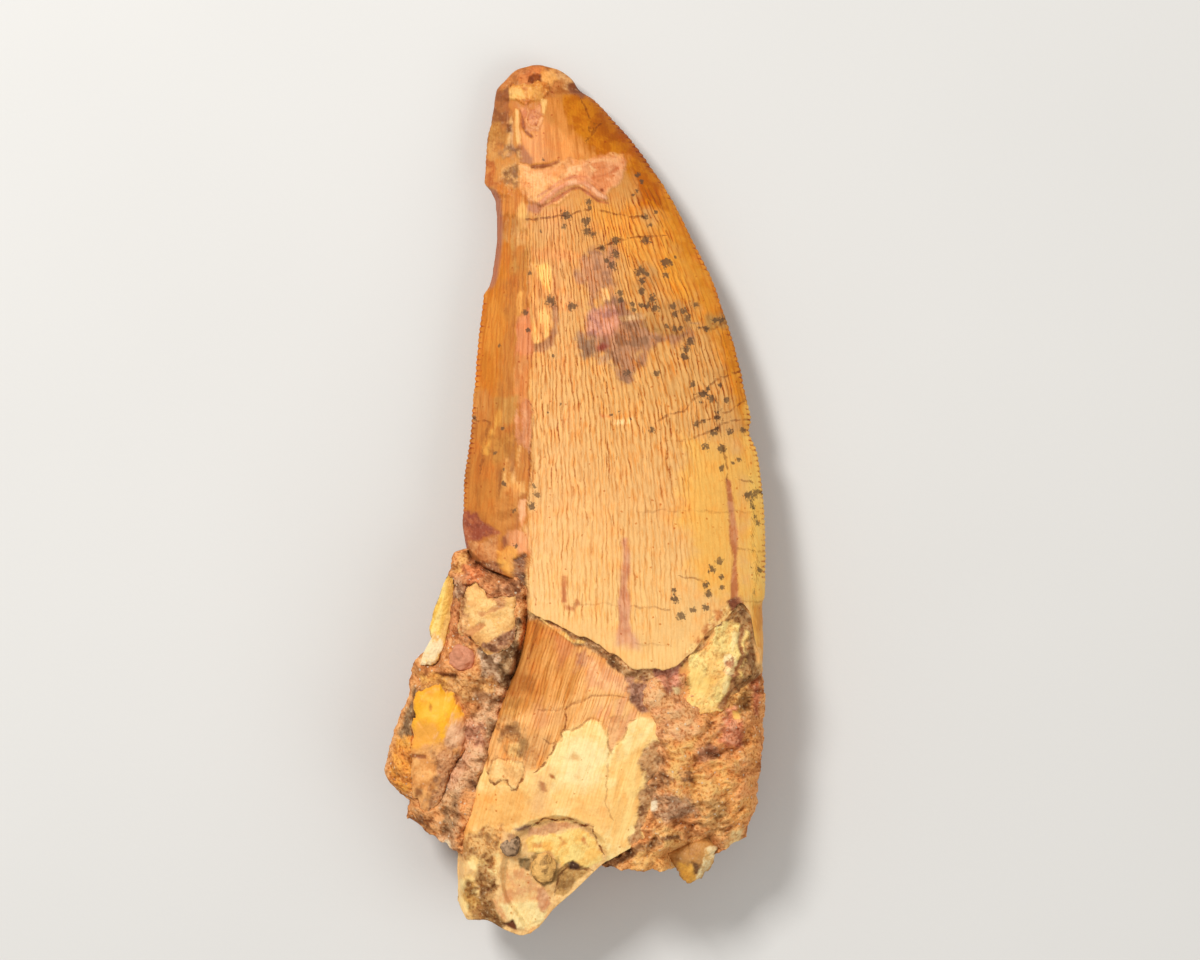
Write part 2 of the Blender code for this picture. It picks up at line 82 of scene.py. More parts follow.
# Edges that cross the tooth as the plan shows them, each a list of (X, Y) from left to right
ENAMEL_EDGE_SEEN = (
    (-12.0, -6.0), (-7.0, -8.6), (-5.5, -10.4), (-1.0, -12.8), (3.5, -15.0), (6.5, -16.9),
    (8.2, -16.9), (11.5, -15.4), (13.0, -13.4), (15.0, -11.9), (16.6, -10.4), (17.5, -11.2),
    (18.2, -14.8), (19.0, -17.0),
)
ROOT_END_SEEN = (
    (-11.8, -40.4), (-10.7, -42.0), (-9.2, -42.0), (-6.9, -43.0), (-5.4, -43.5), (-3.9, -42.9),
    (-2.2, -40.9), (0.0, -38.9), (1.7, -37.2), (2.8, -36.2), (6.5, -34.1), (11.5, -32.1),
)
MATRIX_TOP = ((-11.0, -2.6), (0.0, -7.6), (9.0, -11.6), (18.0, -13.8))
MATRIX_END_SEEN = (
    (-16.5, -31.9), (-14.5, -33.6), (-12.0, -34.9), (-7.5, -36.0), (2.8, -36.4), (7.5, -36.8),
    (11.9, -36.6), (14.2, -35.2), (16.7, -34.0),
)
MATRIX_BACK_EDGE = (
    (-20.0, -3.6), (-11.0, -4.9), (-7.0, -7.5), (-3.0, -9.5), (4.0, -10.0), (12.0, -14.5),
    (20.0, -18.0),
)
# Where the tooth shows through the sandstone from the front, as a closed outline of (X, Y)
WINDOW_SEEN = (
    (-20.0, -4.6), (-11.7, -4.9), (-10.3, -7.1), (-8.3, -8.3), (-5.4, -8.3), (-5.4, -12.0),
    (-6.2, -15.0), (-7.1, -18.0), (-7.9, -21.2), (-9.2, -26.5), (-10.0, -29.5), (-11.6, -34.3),
    (-14.0, -50.0), (8.0, -50.0), (2.9, -36.6), (4.7, -35.2), (6.7, -33.8), (7.5, -30.0),
    (8.1, -26.0), (7.7, -22.5), (6.4, -19.6), (7.8, -17.6), (11.3, -16.8), (10.9, -19.0),
    (14.0, -21.7), (16.0, -20.0), (17.4, -18.0), (22.0, -16.8), (22.0, 50.0), (-20.0, 50.0),
)

# Heights of the front and the back above the surface, each a list of (Y, Z)
FRONT_HEIGHT = (
    (43.5, 3.4), (42.5, 4.4), (40.0, 5.2), (35.0, 6.4), (28.0, 7.9), (20.0, 9.2), (10.0, 10.6),
    (0.0, 12.0), (-8.0, 13.1), (-16.0, 13.9), (-25.0, 13.8), (-33.0, 13.0), (-40.0, 11.6),
    (-44.0, 10.6),
)
BACK_HEIGHT = (
    (43.5, 1.9), (42.5, 1.3), (40.0, 0.9), (35.0, 0.5), (28.0, 0.15), (20.0, -0.15), (10.0, -0.15),
    (4.0, 0.0), (-2.0, 0.3), (-8.0, 1.1), (-14.0, 2.0), (-25.0, 2.6), (-35.0, 3.0), (-44.0, 3.8),
)
MATRIX_FRONT_HEIGHT = (
    (-1.0, 11.0), (-10.0, 12.4), (-18.0, 13.2), (-26.0, 13.6), (-32.0, 12.6), (-37.0, 11.2),
)
# How the sections curve, by Y: 1 is an ellipse, 2 is a lens, and less than 1 is boxier
SECTION_POWER = (
    (43.5, 1.1), (38.0, 1.45), (25.0, 1.7), (5.0, 1.6), (-5.0, 1.3), (-11.0, 0.95), (-18.0, 0.62),
    (-30.0, 0.6), (-44.0, 0.7),
)
MATRIX_SECTION_POWER = 0.55
# How high the lines that cross the tooth lie, and its side edges by Y
FACE_LIFT, ROOT_END_LIFT, MATRIX_END_LIFT = 12.5, 10.5, 10.0
EDGE_HEIGHTS = ((43.5, 2.6), (20.0, 4.5), (0.0, 6.0), (-20.0, 8.0), (-44.0, 7.3))

# The tooth: how the left break's wall rounds into the face, how far the root lies below the
# enamel near its edge, where the broken lobe lies lower still, and the fillet of dirt along
# the enamel's edge
BREAK_ROUNDING = 0.9
ENAMEL_MEAN_Y, ENAMEL_STEP, STEP_REACH = -13.0, 0.8, 3.0
LOBE_STEP, LOBE_CENTRE, LOBE_RADII = 0.9, (-1.8, -37.0), (5.6, 6.2)
FILLET, FILLET_REACH = 0.5, 0.95

# The sandstone: mid height, how far it may stand over or under the tooth's surface, how far
# its left side falls, its lumps, its underside with the level spot it rests on, how what
# rises above the level top is pressed down, least half thickness, and run from side to side
SANDSTONE_MIDDLE, SANDSTONE_COVER = 6.6, 1.3
SANDSTONE_LEFT_FALL, LEFT_FALL_SPAN = 2.6, (6, 17)
LUMP_HEIGHT, UNDERSIDE_LIFT, REST_SINK = 0.9, 1.1, 0.9
REST_CENTRE, REST_RADII = (-1.5, -23.0), (7.5, 8.0)
LEVEL_TOP, LEVEL_PRESS = 13.6, 0.6
THINNEST, SANDSTONE_RUN = 0.2, 33

# Denticles stand in one row along each cutting edge: (Y, length of one denticle), and the
# spans they stand in: (top, low, how deep)
DENTICLES = {
    "left": ((-2.0, 0.50), (5.0, 0.50), (15.0, 0.56), (39.0, 0.60)),
    "right": ((-10.0, 0.52), (12.0, 0.545), (20.0, 0.58), (29.0, 0.63), (41.0, 0.60)),
}
DENTICLE_SPANS = {"left": ((38.8, 32.8, 0.35), (20.9, -2.0, 1.0)), "right": ((40.9, -9.4, 1.0),)}
DENTICLE_DEPTH, DENTICLE_FOOT_Y, DENTICLE_SAMPLES = 0.22, -20, 6000

# Grids: rows down each fine surface, and for both of its faces, 1 the front and -1 the back,
# how many columns it has and how far the first few of them lie in from the rim
TIP_Y = 43.8
RIM_INSETS, BACK_INSETS = (0.0, 0.05, 0.12, 0.2, 0.3, 0.42, 0.55), (0.0, 0.15, 0.4)
MATRIX_INSETS = (0.0, 0.002, 0.01, 0.03, 0.07, 0.14, 0.25)
CROWN_ROWS, CROWN_FACES = 480, ((1, 172, RIM_INSETS), (-1, 30, BACK_INSETS))
ROOT_ROWS, ROOT_FACES = 350, ((1, 220, RIM_INSETS), (-1, 40, BACK_INSETS))
MATRIX_ROWS, MATRIX_FACES = 296, ((1, 210, MATRIX_INSETS), (-1, 84, MATRIX_INSETS))
RIM, RIM_SHARE = 0.7, 0.3  # width of a rim, and the most it takes of a narrow face
LINE_STEPS, LINE_STRIDE = 60, 0.3  # towards where a line meets a column
OVERLAP = 1.5  # by which the root runs up under the enamel

# Rings that close a piece's ends: their sizes and their steps in Y
TIP_CLOSING = (0.1, 0.5, 0.8, 0.95), (0.12, 0.1, 0.06, 0.02)
ENAMEL_CLOSING = (0.9, 0.72, 0.3, 0.05), (0.02, 0.1, 0.4, 0.6)
ROOT_CLOSING = (0.05, 0.5, 0.9), (0.0, 0.0, 0.0)
END_RINGS = 16

# An area of the surface, drawn on the plan and laid over those before it: its outline, its
# colour of 0 to 255, a second colour that mottles it, how soft its edge is in plan units, how
# ragged in blobs and in streaks down the grain, how far it stands up in millimetres, and how
# granular it is from 0 to 1. With a width it is a stroke along the open outline instead.
Patch = namedtuple("Patch", "outline colour second soft blob streak rise grit width",
                   defaults=(None, 3, 2, 0, 0, None, 0))
RAGGED = 1.5  # plan units by which an edge wanders for each unit of blob

CROWN_BASE = (  # colour down the crown: (plan height, red, green, blue)
    (60, 196, 118, 46), (150, 209, 136, 60), (205, 218, 153, 81), (300, 223, 162, 90),
    (400, 228, 170, 99), (500, 237, 180, 111), (620, 246, 194, 122),
)
CROWN_PATCHES = (
    # right border, amber above and gold below; the amber is partly the enamel's colour and partly painted
    # shade
    (((560, 88), (600, 80), (775, 250), (790, 470), (749, 470), (741, 420), (728, 380), (714, 340),
      (697, 300), (672, 250), (655, 212), (640, 175)), (218, 134, 24), (230, 150, 44), 11, 4, 3),
    (((752, 380), (790, 380), (790, 690), (748, 640), (746, 560), (744, 470)), (255, 198, 92),
     (255, 204, 104), 8, 4),
    (((690, 440), (742, 450), (745, 600), (700, 590), (680, 520)), (247, 186, 92), None, 16, 6),
    (((660, 225), (690, 270), (700, 320), (680, 330), (655, 270)), (234, 158, 56), None, 12, 4, 5),
    (((585, 205), (640, 205), (660, 250), (640, 300), (625, 250)), (232, 158, 66), None, 12, 4, 5),
    # tip: pale streaked enamel, then amber to its right
    (((519, 128), (545, 118), (580, 140), (604, 158), (560, 164), (530, 164), (517, 150)), (236, 156, 80),
     (214, 132, 60), 4, 2, 4),
    (((545, 100), (560, 96), (578, 128), (600, 158), (585, 158), (556, 124)), (222, 140, 62),
     (200, 120, 44), 5, 2, 3),
    (((559, 98), (585, 86), (650, 150), (666, 210), (640, 210), (626, 160), (606, 158), (588, 150),
      (570, 125)), (186, 100, 4), (206, 122, 14), 5, 3, 3),
    (((592, 104), (612, 110), (640, 140), (650, 165), (624, 152), (604, 140)), (170, 86, 3), (190, 106, 8),
     5, 3),
    # worn tip: chipped facet, hollow, ragged cream patch, rough ground below it
    (((500, 92), (512, 72), (530, 60), (552, 60), (580, 74), (582, 92), (566, 95), (545, 98), (520, 96)),
     (204, 126, 62), (180, 106, 44), 2, 2, 0, -0.1, 0.35),
    (((519, 74), (530, 64), (548, 62), (541, 76), (536, 88), (522, 88)), (222, 136, 72), (204, 116, 58), 4,
     4, 0, 0.04, 0.3),
    (((541, 66), (556, 68), (561, 80), (552, 88), (541, 84)), (226, 146, 62), (242, 172, 92), 3, 4, 0, 0,
     0.3),
    (((528, 76), (534, 72), (540, 75), (541, 82), (533, 84), (527, 83)), (150, 76, 24), (122, 56, 16), 2, 2,
     0, -0.3),
    (((557, 69), (572, 74), (575, 84), (566, 91), (558, 84)), (206, 138, 76), (236, 176, 110), 3, 4, 0, 0,
     0.3),
    (((568, 84), (576, 83), (586, 92), (582, 97), (570, 93)), (150, 84, 44), (122, 66, 40), 2, 1.5, 0,
     -0.08),
    (((506, 95), (516, 88), (536, 84), (550, 87), (553, 93), (546, 97), (541, 100), (532, 102), (525, 108),
      (518, 104), (511, 102)), (234, 164, 78), (216, 130, 50), 2, 6, 0, 0.2, 0.4),
    (((507, 95), (515, 92), (519, 97), (516, 102), (509, 101)), (246, 190, 104), None, 3, 5, 0, 0.05, 0.2),
    (((519, 105), (532, 104), (543, 102), (543, 118), (540, 129), (530, 133), (519, 130)), (204, 122, 70),
     (232, 156, 100), 2.5, 3, 0, -0.1, 0.3),
    (((526, 104), (529, 112), (526, 120), (530, 127), (538, 128), (542, 118)), (240, 170, 108),
     (222, 142, 84), 1.2, 1, 0, 0.14, 0.2, 1.6),
    (((520, 110), (523, 120), (524, 130), (531, 136)), (160, 88, 46), None, 1.2, 1, 0, -0.08, None, 1.2),
    (((541, 100), (547, 99), (545, 114), (541, 114)), (243, 186, 108), None, 1.2, 1, 1, 0.06),
    # left side of the tip
    (((484, 140), (490, 110), (497, 92), (506, 92), (514, 100), (514, 121), (507, 130), (504, 146),
      (484, 150)), (172, 104, 52), (148, 86, 44), 4, 4, 3, -0.06, 0.2),
    (((486, 122), (500, 121), (508, 126), (507, 140), (490, 144)), (178, 112, 44), (200, 136, 64), 7, 7, 3),
    (((514, 108), (520, 108), (520, 147), (515, 147)), (244, 190, 116), (232, 170, 98), 1, 1, 2, 0.08),
    (((508, 114), (513, 116), (512, 147), (505, 148), (507, 132)), (240, 186, 116), (204, 140, 84), 1.5, 2,
     3, 0.04, 0.3),
    (((506, 124), (512, 124), (512, 132), (507, 133)), (132, 76, 32), None, 2, 1.5),
    (((486, 144), (497, 142), (500, 160), (488, 166)), (218, 154, 82), (190, 124, 62), 5, 6, 3),
    (((517, 144), (524, 146), (531, 158), (532, 165), (521, 164), (517, 156)), (178, 108, 58), None, 3, 2),
    (((498, 152), (513, 151), (514, 160), (502, 162)), (178, 126, 78), (146, 100, 62), 6, 8, 0, 0, 0.3),
    (((496, 161), (518, 159), (521, 188), (499, 191)), (222, 162, 92), (166, 114, 64), 5, 8, 0, 0.06, 0.4),
    (((484, 158), (495, 160), (497, 186), (490, 192), (482, 184)), (190, 106, 48), (212, 136, 70), 5, 7, 0,
     -0.05, 0.2),
    # filler band with its wavy raised lip
    (((519, 163), (531, 167), (546, 166), (559, 161), (572, 157), (591, 158), (605, 157), (610, 152),
      (625, 153), (624, 165), (619, 183), (609, 195), (603, 201), (592, 198), (584, 190), (575, 186),
      (567, 195), (556, 203), (542, 208), (538, 203), (526, 201), (519, 189)), (238, 160, 92),
     (246, 180, 112), 1.2, 1.5, 0, 0.12, 0.3),
    (((582, 160), (624, 154), (622, 168), (616, 186), (604, 200), (590, 194), (580, 182)), (226, 140, 84),
     (242, 168, 114), 3, 3, 0, 0, 0.22),
    (((586, 164), (600, 160), (614, 161), (620, 158)), (246, 178, 120), None, 1.5, 1, 0, 0.1, 0.1, 1.6),
    (((592, 178), (603, 176), (612, 172), (617, 168)), (206, 116, 66), None, 1.5, 1, 0, -0.08, 0.1, 1.2),
    (((594, 168), (606, 168), (614, 166)), (212, 126, 76), None, 1.5, 1, 0, -0.06, 0.1, 1.0),
    (((566, 166), (592, 164), (600, 170), (586, 176), (568, 176)), (252, 194, 134), (236, 160, 104), 2, 2,
     0, 0.06, 0.2),
    (((541, 203), (549, 196), (558, 189), (566, 184), (575, 182), (585, 183), (592, 188), (598, 194),
      (606, 198)), (246, 182, 136), (228, 150, 106), 1.4, 0.7, 0, 0.24, 0.2, 2.6),
    (((538, 197), (548, 190), (559, 182), (572, 177), (586, 177), (596, 184), (605, 191)), (204, 124, 82),
     (224, 148, 104), 1.2, 0.8, 0, -0.05, None, 0.8),
    # a dark line just below the lip: painted shadow cast by the lip
    (((540, 208), (551, 202), (561, 195), (571, 189), (580, 188), (589, 194), (598, 201), (608, 203)),
     (168, 90, 50), (200, 118, 72), 1.2, 0.8, 0, -0.14, None, 1.1),
    (((531, 165), (546, 164), (559, 160), (560, 163), (546, 168), (531, 169)), (148, 78, 34),
     (180, 106, 56), 1, 1, 0, -0.14),
    (((599, 188), (604, 188), (605, 192), (600, 193)), (150, 66, 28), None, 1.2, 1),
    (((527, 201), (540, 204), (543, 209), (537, 213), (527, 211)), (166, 102, 66), (190, 124, 84), 2, 1.5),
    (((513, 206), (521, 203), (526, 206), (526, 214), (520, 217), (514, 214)), (236, 178, 98), None, 2.5,
     3),
    (((499, 190), (520, 190), (527, 201), (514, 205), (512, 250), (499, 250)), (216, 138, 62),
     (204, 122, 48), 5, 4, 6),
    # left strip of the crown, lower than the main face
    (((470, 300), (492, 215), (512, 216), (527, 232), (529, 262), (530, 300), (532, 345), (529, 370),
      (531, 420), (531, 470), (529, 520), (528, 560), (522, 620), (430, 620), (450, 520)), (202, 126, 50),
     (184, 110, 42), 2, 1, 4, -0.2),
    (((470, 300), (490, 240), (510, 240), (507, 320), (497, 400), (470, 410)), (204, 120, 32),
     (216, 136, 48), 7, 4, 5),
    (((514, 222), (527, 222), (527, 250), (515, 254)), (226, 168, 98), (202, 142, 76), 4, 5, 8, 0.05, 0.2),
    (((516, 250), (531, 250), (531, 268), (518, 268)), (184, 122, 52), (204, 142, 68), 6, 5, 8),
    (((530, 249), (582, 249), (583, 260), (532, 262)), (218, 144, 76), (232, 160, 88), 3, 2, 2),
    (((528, 264), (540, 262), (566, 292), (590, 304), (575, 316), (558, 312), (545, 300), (530, 306)),
     (214, 144, 76), (234, 166, 92), 3, 3, 4),
    (((534, 264), (547, 263), (549, 290), (543, 284), (537, 276)), (251, 194, 104), None, 2, 1.5, 2),
    (((516, 288), (525, 290), (524, 312), (516, 320)), (238, 168, 82), (212, 134, 54), 2, 1, 4),
    (((531, 308), (549, 306), (553, 322), (550, 338), (543, 344), (531, 344)), (249, 188, 106),
     (216, 144, 74), 1.5, 1, 5),
    (((549, 300), (556, 304), (560, 318), (558, 332), (552, 344), (543, 350), (532, 350), (532, 345),
      (543, 343), (550, 334), (553, 322), (551, 308)), (172, 114, 68), (196, 138, 88), 1.2, 1.5, 0, -0.05),
    (((517, 316), (531, 306), (532, 345), (531, 359), (516, 356)), (230, 144, 88), (216, 132, 80), 2, 2, 3),
    (((515, 356), (530, 356), (529, 404), (514, 404)), (222, 148, 82), (204, 128, 64), 3, 2, 4),
    (((474, 394), (492, 388), (492, 420), (472, 424)), (198, 124, 54), (216, 144, 70), 3, 2, 3),
    (((496, 398), (517, 396), (517, 420), (500, 428)), (206, 146, 72), (190, 126, 54), 3, 2, 3),
    (((499, 414), (496, 424), (491, 436), (487, 452)), (234, 170, 76), (216, 146, 60), 2, 1, 3, 0.03, 0,
     3.0),
    (((492, 436), (514, 432), (515, 460), (494, 464)), (200, 132, 56), (178, 112, 42), 6, 6, 3),
    (((518, 403), (530, 398), (535, 412), (533, 430), (528, 448), (517, 446)), (206, 130, 82),
     (226, 156, 106), 2, 2, 4, 0.04, 0.2),
    (((506, 460), (505, 474), (503, 488), (502, 498)), (240, 182, 106), (214, 146, 72), 1.5, 1, 3, 0.04, 0,
     1.8),
    (((511, 464), (510, 478), (507, 490)), (236, 174, 96), (206, 138, 66), 1.5, 1, 3, 0.04, 0, 1.4),
    (((520, 446), (519, 460), (517, 472), (514, 482)), (240, 182, 108), None, 1.4, 1, 3, 0.04, 0, 1.8),
    (((497, 500), (500, 484), (501, 470)), (164, 98, 40), None, 1.5, 1, 2, -0.04, None, 1.0),
    (((515, 440), (513, 456), (512, 470)), (172, 108, 50), None, 1.5, 1, 2, -0.04, None, 1.0),
    (((513, 484), (524, 480), (526, 494), (514, 497)), (234, 172, 96), (214, 146, 74), 3, 3, 3),
    (((492, 498), (518, 498), (520, 526), (500, 530), (490, 516)), (208, 134, 60), (186, 114, 44), 6, 6, 4),
    (((521, 500), (526, 500), (524, 530), (518, 534)), (246, 178, 124), None, 1.2, 1, 2),
    (((511, 530), (529, 528), (529, 552), (513, 552)), (238, 164, 108), (222, 146, 90), 2, 2, 3),
    (((502, 536), (508, 535), (506, 550), (501, 551)), (150, 82, 44), (206, 138, 88), 1.5, 1.5, 2),
    (((462, 512), (476, 511), (488, 523), (499, 533), (484, 539), (474, 547), (458, 546)), (182, 102, 64),
     (154, 78, 54), 2, 2, 0, -0.06, 0.3),
    (((469, 542), (484, 540), (497, 536), (498, 566), (474, 568)), (216, 146, 86), (190, 120, 66), 2, 2, 0,
     -0.04, 0.4),
    (((497, 550), (508, 548), (516, 550), (515, 570), (510, 580), (502, 572), (496, 562)), (243, 174, 78),
     (228, 156, 70), 1.5, 2, 0, 0.08, 0.1),
    (((470, 562), (497, 560), (510, 580), (527, 586), (526, 606), (480, 606), (462, 586)), (186, 122, 76),
     (134, 84, 52), 3, 4, 0, -0.12, 0.9),
    (((514, 560), (524, 556), (526, 584), (512, 590)), (122, 80, 52), (172, 118, 78), 2, 2, 0, -0.15, 0.8),
    # purple stain with a pink middle
    (((580, 256), (592, 250), (606, 252), (614, 262), (612, 288), (600, 300), (586, 308), (582, 280)),
     (202, 142, 98), (172, 120, 86), 6, 5, 5),
    (((598, 288), (613, 287), (614, 303), (602, 303)), (248, 190, 118), (214, 150, 96), 2, 2, 3),
    (((583, 306), (614, 303), (640, 318), (690, 322), (694, 332), (670, 344), (652, 352), (640, 358),
      (636, 384), (624, 384), (617, 362), (598, 354), (584, 338)), (188, 134, 96), (156, 110, 78), 5, 5, 5),
    (((584, 311), (600, 306), (616, 309), (619, 322), (612, 336), (600, 338), (588, 334)), (222, 154, 124),
     (184, 122, 104), 5, 3, 3, 0.03, 0.2),
    (((583, 337), (594, 338), (596, 353), (585, 353)), (162, 122, 90), (146, 106, 76), 6, 6),
    (((600, 334), (608, 334), (609, 346), (602, 348)), (156, 104, 84), None, 3, 2),
    (((596, 346), (603, 343), (610, 346), (604, 352), (597, 351)), (150, 74, 56), None, 2.5, 1.5),
    (((597, 353), (609, 353), (608, 363), (599, 363)), (194, 148, 108), None, 3, 2),
    (((644, 322), (680, 323), (678, 333), (650, 330)), (146, 108, 58), (178, 132, 84), 2, 2),
    (((619, 317), (644, 312), (680, 320), (700, 322), (700, 325), (680, 325), (644, 318), (622, 322)),
     (220, 174, 124), (186, 138, 92), 1, 1, 0, 0.03),
    # greyed ground round the dark clusters
    (((634, 266), (652, 266), (662, 296), (692, 304), (694, 326), (664, 334), (640, 314)), (206, 148, 82),
     None, 6, 4, 5),
    (((709, 316), (728, 315), (750, 310), (752, 318), (728, 326), (710, 327)), (196, 142, 72), None, 4, 3),
    # fillings of the two long cracks
    (((726, 479), (731, 481), (732, 496), (735, 515), (738, 530), (737, 566), (738, 585), (737, 602),
      (731, 602), (731, 580), (733, 559), (729, 537), (729, 515), (727, 493)), (196, 118, 68),
     (216, 146, 98), 1.0, 0.6, 0, -0.06),
    (((751, 604), (772, 598), (772, 696), (758, 684), (755, 640)), (238, 172, 82), (222, 150, 60), 3, 2),
    (((622, 539), (627, 539), (630, 558), (628, 580), (631, 620), (632, 640), (616, 640), (619, 620),
      (620, 585), (622, 558)), (222, 158, 116), (208, 138, 98), 1.6, 1, 1, -0.03),
    (((616, 632), (634, 632), (642, 652), (612, 652)), (228, 168, 126), None, 4, 2),
    (((563, 576), (566, 576), (566, 602), (562, 602)), (196, 118, 64), None, 1.2, 1),
    (((565, 605), (574, 607), (577, 600), (579, 604), (574, 611), (566, 610)), (206, 138, 82), None, 1.2,
     1),
    (((613, 419), (631, 418), (630, 425), (614, 425)), (253, 210, 148), None, 1.5, 2),
    (((600, 414), (612, 414), (612, 419), (600, 419)), (214, 124, 66), None, 1.5, 1.5),
    # along the enamel's lower edge
    (((600, 640), (650, 652), (690, 636), (700, 636), (680, 662), (650, 674), (620, 660)), (252, 202, 128),
     None, 6, 3),
    (((700, 632), (712, 612), (726, 606), (740, 598), (746, 606), (730, 616), (714, 630), (700, 646),
      (684, 656)), (252, 210, 134), (210, 144, 84), 2, 2, 0, -0.04, 0.6),
    (((728, 602), (738, 598), (742, 606), (732, 611)), (132, 72, 46), (170, 106, 70), 1.5, 1.5, 0, -0.1,
     0.5),
)

ROOT_BASE = ((560, 236, 178, 108), (700, 242, 184, 112), (800, 252, 198, 122), (960, 250, 198, 126))
# Where the bare dentine is finely striated
STRIATED = (
    (492, 600), (520, 600), (545, 612), (572, 636), (600, 650), (626, 668), (636, 690), (640, 712),
    (634, 719), (627, 725), (612, 738), (600, 722), (584, 723), (564, 730), (556, 743), (541, 766),
    (520, 762), (480, 764),
)
SMOOTH_BONE = (
    (536, 770), (544, 766), (547, 760), (552, 752), (556, 743), (561, 738), (560, 733), (564, 730),
    (579, 729), (584, 723), (591, 719), (598, 721), (603, 727), (608, 737), (608, 746), (611, 750),
    (617, 742), (623, 739), (625, 733), (627, 725), (634, 719), (642, 717), (660, 722), (664, 760),
    (655, 800), (640, 880), (440, 960), (440, 800), (474, 788), (484, 770), (500, 786), (524, 786),
    (526, 772),
)
FLAKE = (
    (490, 776), (488, 770), (493, 761), (499, 758), (511, 760), (523, 762), (524, 769), (521, 779),
    (516, 791), (511, 790), (508, 782), (500, 781), (495, 785), (490, 781),
)
